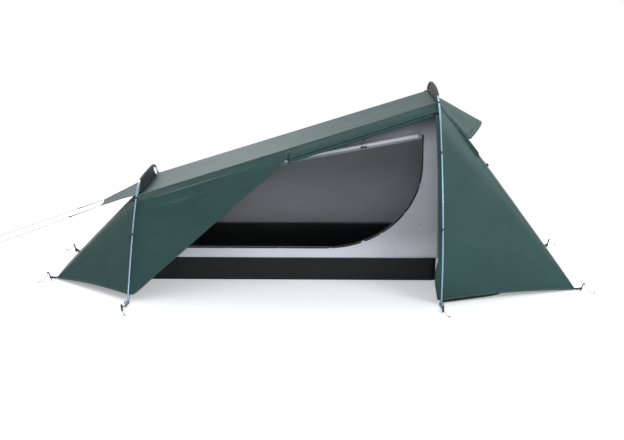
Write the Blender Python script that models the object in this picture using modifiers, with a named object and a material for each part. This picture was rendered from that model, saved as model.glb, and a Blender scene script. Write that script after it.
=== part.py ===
"""A one-person two-hoop tent, pitched with its door open.

Two outside poles stand across the tent in the planes X = HEAD_X and X = FOOT_X. The flysheet hangs under
them, sewn from panels, and a lighter inner tent with a deep waterproof tray stands under the flysheet.
+X points to the head end, +Z up, and the door is on the -Y side. The ground is Z = 0.
"""

import math

import bmesh
import bpy
import numpy as np
from mathutils import Matrix, Vector

# Overall sizes, in metres
HEAD_X = 0.732
FOOT_X = -1.024
HEAD_END_X = 1.541
FOOT_END_X = -1.541
HEAD_END_HALF = 0.495
FOOT_END_HALF = 0.312

# Pole arches: half width and height of the pole's centreline
HEAD_ARCH_HALF = 0.806
HEAD_ARCH_TOP = 1.146
FOOT_ARCH_HALF = 0.797
FOOT_ARCH_TOP = 0.606

# Half of each arch from the foot to the crown, as shares of the half width and height
HEAD_ARCH = ((1.0, 0.0), (1.018, 0.14), (1.0, 0.3), (0.945, 0.44), (0.825, 0.63), (0.72, 0.75),
             (0.59, 0.87), (0.45, 0.947), (0.3, 0.985), (0.15, 0.997), (0.0, 1.0))
FOOT_ARCH = ((1.0, 0.0), (0.875, 0.26), (0.72, 0.55), (0.57, 0.79), (0.45, 0.925), (0.32, 0.985),
             (0.16, 0.999), (0.0, 1.0))

# Flat roof of the flysheet under each arch
HEAD_ROOF_HALF = 0.319
HEAD_ROOF_Z = HEAD_ARCH_TOP - 0.07
FOOT_ROOF_HALF = 0.297
FOOT_ROOF_Z = FOOT_ARCH_TOP - 0.091

# Flysheet cloth
CLOTH = 0.0009
SEAM = 0.00047
FOLD_SEAM = 0.0009
SEWN_ON = 0.0013
POLE_STANDOFF = 0.028
SHOULDER_DROP = 0.035
HEAD_HEM_Z = 0.02
FOOT_HEM_Z = 0.035
CORNER_HEM_Z = 0.006
CORNER_WEDGE = 0.02
WRINKLE = 0.004

# Door in the flysheet: it opens from the foot arch's hem up to DOOR_TOP_X under the roof's edge
DOOR_TOP_X = -0.148
DOOR_HEM_X = -0.999
LINTEL = 0.104
LINTEL_HEAD = 0.084
DOOR_ROLL_R = 0.013
JAMB = 0.045
JAMB_TURN = 0.012
ZIP_OPEN = 0.9

# Awning over the foot end and hood over the head end
AWNING_X = -1.324
AWNING_HALF = 0.11
AWNING_Z = FOOT_ROOF_Z - 0.114
HOOD_PEAK_X = HEAD_X + 0.297
HOOD_PEAK_LIFT = 0.2378
HOOD_SIDE_X = HEAD_X + 0.19
HOOD_SIDE_HALF = 0.345
HOOD_SIDE_LIFT = 0.0433
VENT_TOP_SHARE = 0.07
VENT_LOW_SHARE = 0.3
VENT_MARGIN = 0.05
MESH_CLOTH = 0.0006

# Inner tent
INNER_FRONT = -0.302
INNER_BACK = 0.598
INNER_HEAD_X = 0.7305
INNER_HEAD_TOP_X = 0.712
INNER_FOOT_X = -1.37
INNER_TAPER_X = -1.0
INNER_FOOT_BACK = 0.32
INNER_ROOF_BACK = 0.27
ROOF_GAP = 0.045
TRAY_H = 0.139
TRAY_CLOTH = 0.0012
FIT = 0.0003

# Door in the inner tent's front wall
OPENING_LOW = TRAY_H + 0.066
OPENING_FOOT_X = -0.80
OPENING_HEAD_X = 0.646
OPENING_HEAD_TOP = HEAD_ROOF_Z - 0.214
OPENING_STRAIGHT_Z = 0.70
OPENING_CURVE_X = 0.09
OPENING_KNEE = (-0.123, FOOT_ROOF_Z * 0.487 + HEAD_ROOF_Z * 0.513 - 0.081)
OPENING_FOOT_TOP = FOOT_ROOF_Z - 0.025
INNER_ROLL_R = 0.012

# Poles
POLE_R = 0.0045
POLE_WALL = 0.0008
FERRULE = 0.78
FERRULE_LENGTH = 0.03
ELASTIC_R = 0.0011
HEAD_SECTIONS = 4
FOOT_SECTIONS = 3
SECTION_STEPS = 13
PIVOT_Z = 0.006
TIP_LENGTH = 0.02
SLEEVE_R = POLE_R + 0.0025
SLEEVE_WALL = 0.0012
CREST_CLOTH = 0.001

# Small parts
CLIP_R = POLE_R + 0.0033
CLIP_GAP = 0.00085
CLIP_LENGTH = 0.013
CLIP_HALF = 0.003
CLIP_TAPE = 0.009
HEAD_CLIP_Z = (HEAD_ARCH_TOP * 0.375, HEAD_ARCH_TOP * 0.724, HEAD_ARCH_TOP * 0.912)
FOOT_CLIP_Z = (FOOT_ARCH_TOP * 0.563, FOOT_ARCH_TOP * 0.784)
ZIP_R = 0.0015
CORD_R = 0.001
PEG_H = 0.058
PEG_W = 0.0085
PEG_T = 0.004
PEG_LEAN = math.radians(20)
HOOP_PEG_Y = 0.935
CORNER_PEG_OUT = 0.031
GUY_PEG = (-2.315, 0.175)
TENSIONER_AT = 0.17
STRAP_W = 0.015
STRAP_T = 0.001
RING_R = 0.008
RING_HOLE_R = 0.0042
RING_Z = 0.0026

# Colours and finishes: red, green, blue, roughness, metallic
FINISHES = {
    "flysheet": (0.049, 0.112, 0.107, 0.55, 0.0),
    "inner_cloth": (0.45, 0.47, 0.52, 0.8, 0.0),
    "inner_mesh": (0.03, 0.03, 0.035, 0.9, 0.0),
    "tray": (0.015, 0.019, 0.019, 0.5, 0.0),
    "pole": (0.36, 0.56, 0.68, 0.3, 1.0),
    "bare_alloy": (0.7, 0.71, 0.72, 0.35, 1.0),
    "plastic": (0.02, 0.024, 0.026, 0.45, 0.0),
    "webbing": (0.05, 0.07, 0.075, 0.85, 0.0),
    "cord": (0.6, 0.62, 0.6, 0.8, 0.0),
    "elastic": (0.03, 0.03, 0.03, 0.8, 0.0),
    "peg": (0.07, 0.09, 0.085, 0.4, 1.0),
    "zip": (0.02, 0.025, 0.025, 0.6, 0.0),
}

for old in list(bpy.data.objects):
    bpy.data.objects.remove(old, do_unlink=True)

tent = bpy.data.collections.new("one_person_tent")
bpy.context.scene.collection.children.link(tent)


def finish(name):
    """The named Principled BSDF material, made the first time it is asked for."""
    if name in bpy.data.materials:
        return bpy.data.materials[name]
    red, green, blue, rough, metal = FINISHES[name]
    material = bpy.data.materials.new(name)
    material.use_nodes = True
    shader = material.node_tree.nodes["Principled BSDF"]
    shader.inputs["Base Color"].default_value = (red, green, blue, 1)
    shader.inputs["Roughness"].default_value = rough
    shader.inputs["Metallic"].default_value = metal
    return material


def add(name, data, material, matrix=None):
    """An object of the tent from mesh or curve data."""
    item = bpy.data.objects.new(name, data)
    tent.objects.link(item)
    item.data.materials.append(finish(material))
    if matrix is not None:
        item.matrix_world = matrix
    return item


def solid(item):
    """The same object as a plain closed mesh, its caps welded, so that it can take part in a Boolean."""
    bpy.context.view_layer.update()
    graph = bpy.context.evaluated_depsgraph_get()
    mesh = bpy.data.meshes.new_from_object(item.evaluated_get(graph))
    shape = bmesh.new()
    shape.from_mesh(mesh)
    bmesh.ops.remove_doubles(shape, verts=shape.verts, dist=0.000002)
    bmesh.ops.recalc_face_normals(shape, faces=shape.faces)
    shape.to_mesh(mesh)
    shape.free()
    mesh.materials.clear()
    place = item.matrix_world.copy()
    bpy.data.objects.remove(item, do_unlink=True)
    made = bpy.data.objects.new("solid", mesh)
    tent.objects.link(made)
    made.matrix_world = place
    return made


def combine(name, items, material, operation="UNION"):
    """One solid: the first keeps its place, and the others are united with it or cut from it."""
    base, *others = [solid(item) for item in items]
    for other in others:
        step = base.modifiers.new("combine", "BOOLEAN")
        step.operation = operation
        step.object = other
    bpy.context.view_layer.update()
    graph = bpy.context.evaluated_depsgraph_get()
    mesh = bpy.data.meshes.new_from_object(base.evaluated_get(graph))
    place = base.matrix_world.copy()
    for item in (base, *others):
        bpy.data.objects.remove(item, do_unlink=True)
    return add(name, mesh, material, place)


def smooth(points, count):
    """Points evenly spaced by length along a smooth curve through the given ones."""
    given = np.asarray(points, float)
    gaps = np.linalg.norm(np.diff(given, axis=0), axis=1)
    at = np.concatenate([[0], np.cumsum(gaps)])
    slope = np.gradient(given, at, axis=0)
    fine = np.linspace(0, at[-1], 60 * len(given))
    k = np.clip(np.searchsorted(at, fine, side="right") - 1, 0, len(given) - 2)
    h = (at[k + 1] - at[k])[:, None]
    t = ((fine - at[k])[:, None]) / h
    curve = ((2 * t**3 - 3 * t**2 + 1) * given[k] + (t**3 - 2 * t**2 + t) * h * slope[k]
             + (3 * t**2 - 2 * t**3) * given[k + 1] + (t**3 - t**2) * h * slope[k + 1])
    return evenly(curve, count)


def evenly(line, count):
    """Points evenly spaced by length along a fine line."""
    gaps = np.linalg.norm(np.diff(line, axis=0), axis=1)
    at = np.concatenate([[0], np.cumsum(gaps)])
    want = np.linspace(0, at[-1], count)
    return np.stack([np.interp(want, at, line[:, k]) for k in range(line.shape[1])], axis=1)


def between(a, b, share):
    """The point, or row of points, that lies share of the way from a to b."""
    return np.asarray(a, float) * (1 - share) + np.asarray(b, float) * share


def cloth(name, grid, material="flysheet", thick=CLOTH, inset=SEAM, keep=None):
    """A cloth panel over a grid of points, with its thickness on both sides.

    The grid's edges are drawn in by the seam gap. Where keep is given, it says which cells hold cloth.
    """
    grid = np.array(grid, float)
    for axis in (0, 1):
        rows = np.moveaxis(grid, axis, 0)
        for edge, inner in ((0, 1), (-1, -2)):
            way = rows[inner] - rows[edge]
            rows[edge] += way / np.linalg.norm(way, axis=1)[:, None] * inset
    rows, columns = grid.shape[:2]
    corner = np.arange(rows - 1)[:, None] * columns + np.arange(columns - 1)
    corner = corner[keep] if keep is not None else corner.ravel()
    quads = np.stack([corner, corner + 1, corner + columns + 1, corner + columns], axis=1)
    used, quads = np.unique(quads, return_inverse=True)
    mesh = bpy.data.meshes.new(name)
    mesh.from_pydata(grid.reshape(-1, 3)[used].tolist(), [], quads.reshape(-1, 4).tolist())
    mesh.shade_smooth()
    item = add(name, mesh, material)
    wall = item.modifiers.new("cloth", "SOLIDIFY")
    wall.thickness = thick
    wall.offset = 0
    return item


def flat(name, outlines, half, material, matrix):
    """A flat sheet or plate from closed outlines, the later ones being holes, placed by a matrix."""
    curve = bpy.data.curves.new(name, "CURVE")
    curve.dimensions = "2D"
    curve.fill_mode = "BOTH"
    curve.extrude = half
    for outline in outlines:
        line = curve.splines.new("POLY")
        line.points.add(len(outline) - 1)
        for point, (u, v) in zip(line.points, outline):
            point.co = (u, v, 0, 1)
        line.use_cyclic_u = True
    return add(name, curve, material, matrix)


def tube(name, points, radius, material, sides=2, wall=0.0, shares=None):
    """A round rod along points, or a hollow tube if it has a wall; shares scale the radius at each point."""
    curve = bpy.data.curves.new(name, "CURVE")
    curve.dimensions = "3D"
    curve.bevel_depth = radius
    curve.bevel_resolution = sides
    curve.use_fill_caps = not wall
    line = curve.splines.new("POLY")
    line.points.add(len(points) - 1)
    for k, (point, place) in enumerate(zip(line.points, points)):
        point.co = (*place, 1)
        point.radius = shares[k] if shares is not None else 1.0
    item = add(name, curve, material)
    if wall:
        bore = item.modifiers.new("bore", "SOLIDIFY")
        bore.thickness = wall
        bore.offset = -1
    return item


def turned(name, profile, material, matrix, steps=12):
    """A turned shape: (radius, height) points from the top down the outer side, round the local Z axis."""
    mesh = bpy.data.meshes.new(name)
    mesh.from_pydata([(r, 0, z) for r, z in profile], [(k, k + 1) for k in range(len(profile) - 1)], [])
    item = add(name, mesh, material, matrix)
    screw = item.modifiers.new("turn", "SCREW")
    screw.steps = steps
    screw.render_steps = steps
    screw.use_merge_vertices = True
    screw.merge_threshold = 0.00001
    return item


def block(name, size, material, matrix):
    """A box of the given size, centred on its place."""
    mesh = bpy.data.meshes.new(name)
    shape = bmesh.new()
    bmesh.ops.create_cube(shape, size=1)
    bmesh.ops.scale(shape, vec=size, verts=shape.verts)
    shape.to_mesh(mesh)
    shape.free()
    return add(name, mesh, material, matrix)


def axes(origin, x, y, z):
    """A matrix that takes local X, Y and Z to the three given directions, at an origin."""
    turn = Matrix((Vector(x).normalized(), Vector(y).normalized(), Vector(z).normalized())).transposed()
    return Matrix.Translation(Vector(origin)) @ turn.to_4x4()


def along(origin, z, hint=(1, 0, 0)):
    """A matrix whose local Z follows a direction, with local X as near the hint as it can be."""
    z = Vector(z).normalized()
    y = z.cross(Vector(hint)).normalized()
    return axes(origin, y.cross(z), y, z)


class Hoop:
    """One pole arch and the flysheet's edge under it."""

    def __init__(self, x, half, top, arch, roof_half, roof_z, hem_z, sections):
        self.x, self.top, self.roof_half, self.roof_z, self.hem_z = x, top, roof_half, roof_z, hem_z
        self.sections = sections
        shares = np.array(arch)
        side = np.stack([-half * shares[:, 0], PIVOT_Z + (top - PIVOT_Z) * shares[:, 1]], axis=1)
        whole = np.concatenate([side, side[-2::-1] * (-1, 1)])
        self.fine = smooth(whole, 1201)
        self.bends = evenly(self.fine, sections * SECTION_STEPS + 1)

    def pole(self):
        """Points of the pole's centreline, from the front foot over the crown to the back foot."""
        return np.insert(self.bends, 0, self.x, axis=1)

    def at_height(self, z, side=-1):
        """The pole's centre and its direction, going up, where a hook near a height holds it.

        The place is kept half a hook away from the bends of the pole's line; side is -1 in front, 1 behind.
        """
        front = self.bends[: len(self.bends) // 2 + 1]
        k = int(np.searchsorted(front[:, 1], z)) - 1
        way = front[k + 1] - front[k]
        margin = 0.8 * CLIP_LENGTH / np.linalg.norm(way)
        share = min(max((z - front[k][1]) / way[1], margin), 1 - margin)
        place = front[k] + way * share
        way = way / np.linalg.norm(way)
        return (Vector((self.x, -side * place[0], place[1])), Vector((0, -side * way[0], way[1])))

    def leg(self, side, rows):
        """The flysheet's edge below the pole, from the hem up to the roof's corner."""
        front = self.fine[: len(self.fine) // 2]
        way = np.gradient(front, axis=0)
        way /= np.linalg.norm(way, axis=1)[:, None]
        inside = front + np.stack([way[:, 1], -way[:, 0]], axis=1) * POLE_STANDOFF
        keep = (inside[:, 1] >= self.hem_z) & (inside[:, 1] <= self.roof_z - SHOULDER_DROP)
        line = np.concatenate([inside[keep][::20], [[-self.roof_half, self.roof_z]]])
        line = smooth(line, rows)
        return np.stack([np.full(rows, self.x), -side * line[:, 0], line[:, 1]], axis=1)

    def roof(self, side):
        """The roof's corner at this arch."""
        return np.array([self.x, side * self.roof_half, self.roof_z])


HEAD = Hoop(HEAD_X, HEAD_ARCH_HALF, HEAD_ARCH_TOP, HEAD_ARCH, HEAD_ROOF_HALF, HEAD_ROOF_Z, HEAD_HEM_Z,
            HEAD_SECTIONS)
FOOT = Hoop(FOOT_X, FOOT_ARCH_HALF, FOOT_ARCH_TOP, FOOT_ARCH, FOOT_ROOF_HALF, FOOT_ROOF_Z, FOOT_HEM_Z,
            FOOT_SECTIONS)
ROWS = 10


def roof_edge(x, side=-1):
    """A point of the roof's front or back edge."""
    return between(FOOT.roof(side), HEAD.roof(side), (x - FOOT_X) / (HEAD_X - FOOT_X))


def door_corner():
    """Where the door's slanting edge meets the lintel."""
    legs = FOOT.leg(-1, 200), HEAD.leg(-1, 200)
    share = (DOOR_TOP_X - FOOT_X) / (HEAD_X - FOOT_X)
    line = between(*legs, share)
    gaps = np.linalg.norm(np.diff(line, axis=0), axis=1)
    down = np.cumsum(gaps[::-1])[::-1]
    return line[int(np.argmin(np.abs(down - LINTEL)))]


def door_hem():
    """The lower end of the door's slanting edge, by the front foot of the foot arch."""
    foot = FOOT.leg(-1, ROWS)[0]
    return np.array([DOOR_HEM_X, foot[1] + 0.004, foot[2]])


def end_corner(side, end_x, half):
    """A corner of the flysheet on the ground."""
    return np.array([end_x, side * half, CORNER_HEM_Z])


def front_panel():
    """The fixed part of the front with its folds, and the lintel that runs on from it over the door."""
    leg = FOOT.leg(-1, ROWS)
    hem, corner, top = door_hem(), door_corner(), roof_edge(DOOR_TOP_X)
    slant = [between(hem, corner, t) for t in np.linspace(0, 1, ROWS - 2)]
    edge = np.array(slant + [between(corner, top, 0.5), top])
    across = np.linspace(0, 1, 11)
    panel = np.stack([between(leg, edge, t) for t in across], axis=1)
    reach = np.sin(np.pi * across)[None, :] * np.linspace(0, 1, ROWS)[:, None]
    folds = WRINKLE * np.sin(np.linspace(0, 5 * np.pi, ROWS))[:, None] * reach
    panel[1:-1, :, 1] -= folds[1:-1]

    low = lintel_end()
    steps = np.linspace(0, 1, 6)[1:]
    band = np.stack([[between(between(corner, low, t), between(top, HEAD.roof(-1), t), share)
                      for t in steps] for share in (0, 0.5, 1)])
    spare = edge[:-3, None] + steps[None, :, None] * (0.01, 0, 0)
    whole = np.concatenate([panel, np.concatenate([spare, band])], axis=1)
    keep = np.ones((ROWS - 1, 10 + len(steps)), bool)
    keep[:ROWS - 3, 10:] = False
    cloth("fly_front_panel", whole, keep=keep)


def lintel_end():
    """The lower corner of the lintel at the head arch."""
    leg = HEAD.leg(-1, 200)
    gaps = np.linalg.norm(np.diff(leg, axis=0), axis=1)
    down = np.cumsum(gaps[::-1])[::-1]
    return leg[int(np.argmin(np.abs(down - LINTEL_HEAD)))]


def side_panels():
    """The back of the flysheet, and the rolled door under the lintel."""
    corner, low = door_corner(), lintel_end()
    start, stop = between(corner, low, 0.012), between(corner, low, 0.94)
    drop = np.array([0, 0.75, -0.75]) * CLOTH
    inward = np.array([0, 0.53, -0.85]) * DOOR_ROLL_R
    tube("outer_door_roll", [between(start, stop, t) + drop + inward for t in np.linspace(0, 1, 8)],
         DOOR_ROLL_R, "flysheet")

    back = np.stack([between(FOOT.leg(1, ROWS), HEAD.leg(1, ROWS), t) for t in np.linspace(0, 1, 5)], axis=1)
    cloth("fly_side_back", back)


def jamb(edge):
    """The edge of the narrow strip that turns in from the head arch's front leg at the door."""
    wide = JAMB * np.interp(edge[:, 2], (0.0, 0.11, 0.3), (0.4, 0.78, 1.0))
    return edge + np.stack([-wide, np.full(len(edge), JAMB_TURN), np.zeros(len(edge))], axis=1)


def end_sheet(word, hoop, end_x, half, vent=False):
    """One end of the flysheet: a fan on each side and the sloping wall between, folded from one sheet.

    Its upper edge follows the arch's legs and the roof's edge, and its lower edge runs along the ground.
    The head end has a vent, a cell left open and closed by a net, and a jamb turned in along the door.
    """
    corners = {side: end_corner(side, end_x, half) for side in (-1, 1)}
    wedge = np.linspace(1, 0, ROWS)[:, None] * CORNER_WEDGE
    legs, feet = {}, {}
    for side in (-1, 1):
        legs[side] = hoop.leg(side, ROWS)
        out = legs[side][0] - corners[side]
        feet[side] = corners[side] + wedge * out / np.linalg.norm(out)
    margin = np.array([0, VENT_MARGIN, 0])
    roof = [hoop.roof(-1) + margin, hoop.roof(1) - margin]
    ground = [corners[-1] + margin, corners[1] - margin]
    high = np.concatenate([legs[-1], roof, legs[1][::-1]])
    low = np.concatenate([feet[-1], ground, feet[1][::-1]])
    shares = (0, VENT_TOP_SHARE, VENT_LOW_SHARE, 0.65, 1) if vent else (0, 0.33, 0.66, 1)
    grid = np.stack([between(high, low, t) for t in shares], axis=1)
    keep = np.ones((len(high) - 1, len(shares) - 1), bool)
    if vent:
        keep[ROWS, 1] = False
        cloth("vent_net", grid[ROWS: ROWS + 2, 1:3], "inner_mesh", thick=MESH_CLOTH, inset=FIT)
        down = grid[:, 1] - grid[:, 0]
        grid[:, 0] += down / np.linalg.norm(down, axis=1)[:, None] * SEAM
        flap = np.concatenate([jamb(grid[:ROWS, 0]), grid[ROWS:, 0] - (JAMB, 0, 0)])
        grid = np.concatenate([flap[:, None], grid], axis=1)
        keep = np.concatenate([(np.arange(len(keep)) < ROWS - 2)[:, None], keep], axis=1)
    sheet = cloth("sheet", grid, keep=keep)
    loops = []
    for side in (-1, 1):
        place, away = corner_peg(end_x, half, side)
        near = Vector(corners[side]) - away * 0.006
        loops.append(strap([near + Vector((0, 0, 0.003)), notch(place, away, 0.016)]))
    combine(f"fly_{word}", [sheet, *loops], "flysheet")


def head_wall_z(x):
    """Height of the head end's sloping wall."""
    return HEAD_ROOF_Z + (CORNER_HEM_Z - HEAD_ROOF_Z) * (x - HEAD_X) / (HEAD_END_X - HEAD_X)


def awning_and_hood():
    """The awning over the foot end and the peaked hood that keeps rain off the head vent."""
    rise = np.array([0, 0, SEWN_ON])
    clear = np.array([CREST_CLOTH / 2 + FIT, 0, 0])
    root = np.array([FOOT.roof(-1), FOOT.roof(1)]) + rise - clear
    tip = np.array([[AWNING_X, -AWNING_HALF, AWNING_Z], [AWNING_X, AWNING_HALF, AWNING_Z]])
    cloth("fly_awning", np.stack([root, tip]), inset=0.0001)

    across = np.linspace(-1, 1, 9)
    root = np.stack([np.full(9, HEAD_X), across * HEAD_ROOF_HALF, np.full(9, HEAD_ROOF_Z)], axis=1)
    root += rise + clear
    lift = 1 - np.abs(across)**1.5
    low, high = head_wall_z(HOOD_SIDE_X) + HOOD_SIDE_LIFT, head_wall_z(HOOD_PEAK_X) + HOOD_PEAK_LIFT
    rim = np.stack([HOOD_SIDE_X + (HOOD_PEAK_X - HOOD_SIDE_X) * lift, across * HOOD_SIDE_HALF,
                    low + (high - low) * lift], axis=1)
    cloth("fly_hood", np.stack([between(root, rim, t) for t in np.linspace(0, 1, 5)]), inset=0.0001)


def crest(word, hoop, reach):
    """The upright fin over the roof at an arch, with the sleeve that the pole's crown runs through."""
    ends = np.interp((-reach, reach), hoop.bends[:, 0], hoop.bends[:, 1])
    inside = hoop.bends[np.abs(hoop.bends[:, 0]) < reach - 0.01]
    line = np.concatenate([[(-reach, ends[0])], inside, [(reach, ends[1])]])
    top = line.copy()
    top[:, 1] -= SLEEVE_R - SLEEVE_WALL / 2
    base = hoop.roof_z + CLOTH / 2 + 0.00045
    low = hoop.roof_half - 0.012
    shoulder = (base + top[0, 1]) / 2
    outline = [(-low, base), (low, base), (reach + 0.004, shoulder), *top[::-1].tolist(),
               (-reach - 0.004, shoulder)]
    fin = flat("fin", [outline], CREST_CLOTH / 2, "flysheet",
               axes((hoop.x, 0, 0), (0, 1, 0), (0, 0, 1), (1, 0, 0)))
    path = np.insert(line, 0, hoop.x, axis=1)
    sleeve = tube("sleeve", path, SLEEVE_R, "flysheet", wall=SLEEVE_WALL)
    combine(f"{word}_crest", [sleeve, fin], "flysheet")


def inner_roof_z(x):
    """Height of the inner tent's roof between the arches."""
    return roof_edge(x)[2] - ROOF_GAP


def inner_tent():
    """The tray, the walls and the roof of the inner tent."""
    def outline(t):
        return [(INNER_FOOT_X + t, INNER_FRONT + t), (INNER_HEAD_X - t, INNER_FRONT + t),
                (INNER_HEAD_X - t, INNER_BACK - t), (INNER_TAPER_X + t * 0.3, INNER_BACK - t),
                (INNER_FOOT_X + t, INNER_FOOT_BACK - t * 0.6)]

    outside = flat("outside", [outline(0)], TRAY_H / 2, "tray", Matrix.Translation((0, 0, TRAY_H / 2)))
    inside = flat("inside", [outline(TRAY_CLOTH)], TRAY_H / 2, "tray",
                  Matrix.Translation((0, 0, TRAY_H / 2 + TRAY_CLOTH)))
    combine("inner_tray", [outside, inside], "tray", "DIFFERENCE")

    base = TRAY_H - 0.0004
    foot_roof, head_roof = inner_roof_z(FOOT_X), inner_roof_z(INNER_HEAD_TOP_X)
    front, back = INNER_FRONT, INNER_ROOF_BACK
    roof = [[(INNER_FOOT_X, front, TRAY_H), (INNER_FOOT_X, INNER_FOOT_BACK, TRAY_H)],
            [(FOOT_X, front, foot_roof), (FOOT_X, back, foot_roof)],
            [(INNER_HEAD_TOP_X, front, head_roof), (INNER_HEAD_TOP_X, back, head_roof)]]
    sheet = cloth("sheet", roof, "inner_cloth", inset=FOLD_SEAM)
    combine("inner_roof", [sheet, *hangers()], "inner_cloth")
    head_wall = [[(INNER_HEAD_X, front, base), (INNER_HEAD_X, INNER_BACK, base)],
                 [(INNER_HEAD_TOP_X, front, head_roof), (INNER_HEAD_TOP_X, back, head_roof)]]
    cloth("inner_wall_head", head_wall, "inner_cloth", inset=FOLD_SEAM)

    low_edge = np.array([(INNER_FOOT_X, INNER_FOOT_BACK, TRAY_H), (INNER_TAPER_X, INNER_BACK, TRAY_H),
                         (INNER_HEAD_X, INNER_BACK, TRAY_H)])
    knee = np.array([FOOT_X, back, foot_roof])
    up = knee - low_edge[0]
    high_edge = np.array([low_edge[0] + up / np.linalg.norm(up) * CORNER_WEDGE, knee,
                          (INNER_HEAD_TOP_X, back, head_roof)])
    cloth("inner_wall_back", [low_edge, between(low_edge, high_edge, 0.5), high_edge], "inner_cloth",
          inset=FOLD_SEAM)

    low, drop = TRAY_H + 0.0005, 0.0005
    knee, knee_top = OPENING_KNEE
    seam, roof_at_seam = knee - SEAM * 2, inner_roof_z(knee) - drop
    toward_head = [(knee, low), (INNER_HEAD_X - drop, low), (INNER_HEAD_TOP_X - drop, head_roof - drop),
                   (knee, roof_at_seam), (knee, knee_top), (OPENING_HEAD_X, OPENING_HEAD_TOP),
                   *opening_curve(12), (knee, OPENING_LOW)]
    toward_foot = [(INNER_FOOT_X + 0.004, low), (seam, low), (seam, OPENING_LOW),
                   (OPENING_FOOT_X, OPENING_LOW), (OPENING_FOOT_X, OPENING_FOOT_TOP), (seam, knee_top),
                   (seam, roof_at_seam), (FOOT_X, foot_roof - drop)]
    upright = axes((0, INNER_FRONT, 0), (1, 0, 0), (0, 0, 1), (0, -1, 0))
    flat("inner_wall_front_head", [toward_head], CLOTH / 2, "inner_cloth", upright)
    flat("inner_wall_front_foot", [toward_foot], CLOTH / 2, "inner_cloth", upright)


def hangers():
    """The short elastic posts that hang the inner tent's roof from the flysheet's roof."""
    made = []
    for x in (FOOT_X + 0.05, INNER_HEAD_TOP_X - 0.03):
        for y in (INNER_FRONT + 0.05, INNER_ROOF_BACK - 0.03):
            high = roof_edge(x)[2] - CLOTH / 2 - 0.0011
            made.append(tube("hanger", [(x, y, inner_roof_z(x) - 0.0002), (x, y, high)], 0.0018, "elastic"))
    return made


def opening_curve(count):
    """The curved lower head corner of the inner door, from its upright edge round to the sill."""
    turn = np.linspace(0, math.pi / 2, count)
    wide, tall = OPENING_HEAD_X - OPENING_CURVE_X, OPENING_STRAIGHT_Z - OPENING_LOW
    return [(OPENING_CURVE_X + wide * math.cos(t), OPENING_STRAIGHT_Z - tall * math.sin(t)) for t in turn]


def toggle(name, place, way):
    """A waisted bar toggle, centred on a place and lying along a direction."""
    return turned(name, [(0, 0.014), (0.0038, 0.011), (0.003, 0), (0.0038, -0.011), (0, -0.014)],
                  "plastic", along(place, way), steps=10)


def zip_slider(name, frame):
    """A zip slider with its pull hanging: local Y runs up the zip and local Z points away from the cloth."""
    body = block("body", (0.008, 0.011, 0.003), "plastic", frame)
    pull = block("pull", (0.005, 0.026, 0.0015), "plastic",
                 frame @ Matrix.Translation((0, -0.017, -0.0004)))
    return combine(name, [body, pull], "plastic")


def inner_door_fittings():
    """The inner tent's rolled door with its toggle, and the zip with its slider."""
    outside = INNER_FRONT - CLOTH / 2 - FIT
    lift = INNER_ROLL_R + 0.002
    foot = (OPENING_FOOT_X + 0.05, OPENING_FOOT_TOP + 0.017)
    head = (OPENING_HEAD_X - 0.02, between(OPENING_KNEE, (OPENING_HEAD_X, OPENING_HEAD_TOP), 0.97)[1])
    line = [between(foot, OPENING_KNEE, t) for t in np.linspace(0, 0.97, 6)]
    line += [between(OPENING_KNEE, head, t) for t in np.linspace(0.03, 1, 7)]
    tube("inner_door_roll", [(x, outside - INNER_ROLL_R, z + lift) for x, z in line], INNER_ROLL_R,
         "inner_cloth")
    x, z = between(OPENING_KNEE, head, 0.57)
    toggle("inner_door_toggle", (x, outside - 2 * INNER_ROLL_R - 0.0042, z + lift), (1, 0, 0.18))

    off = 0.004
    side = OPENING_HEAD_X + off
    path = [(side, OPENING_HEAD_TOP + 0.02), (side, OPENING_STRAIGHT_Z)]
    path += [(x + off * 0.7, z - off * 0.7) for x, z in opening_curve(12)[1:-1]]
    path += [(OPENING_CURVE_X, OPENING_LOW - off), (OPENING_FOOT_X, OPENING_LOW - off)]
    tube("inner_zip", [(x, outside - ZIP_R, z) for x, z in path], ZIP_R, "zip")
    place = (side, outside - 2 * ZIP_R - FIT - 0.0015, OPENING_HEAD_TOP + 0.01)
    zip_slider("inner_zip_slider", axes(place, (1, 0, 0), (0, 0, 1), (0, -1, 0)))


def outer_door_fittings():
    """The outer door's zip along its slanting edge, its slider, and the toggle that holds the rolled door."""
    low, high = door_hem(), door_corner()
    way = Vector(high - low).normalized()
    out = Vector((1, 0, 0))
    out = (out - way * out.dot(way)).normalized()
    shift = np.array(out) * (ZIP_R + FIT)
    ends = [between(low, high, t) + shift for t in (0.012, 0.985)]
    tube("outer_zip", [between(*ends, t) for t in np.linspace(0, 1, 6)], ZIP_R, "zip")
    outward = way.cross(out)
    outward = -outward if outward.y > 0 else outward
    start = Vector(between(low, high, ZIP_OPEN) + shift) + outward * (ZIP_R + FIT + 0.0015)
    zip_slider("outer_zip_slider", axes(start, way.cross(outward), way, outward))

    top = roof_edge(DOOR_TOP_X)
    slope = Vector(top - high).normalized()
    across = Vector(lintel_end() - high).normalized()
    normal = across.cross(slope).normalized()
    normal = -normal if normal.y > 0 else normal
    place = Vector(between(high, top, 0.45)) + across * 0.012 + normal * (CLOTH / 2 + 0.0044)
    toggle("outer_door_toggle", place, slope)


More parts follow.
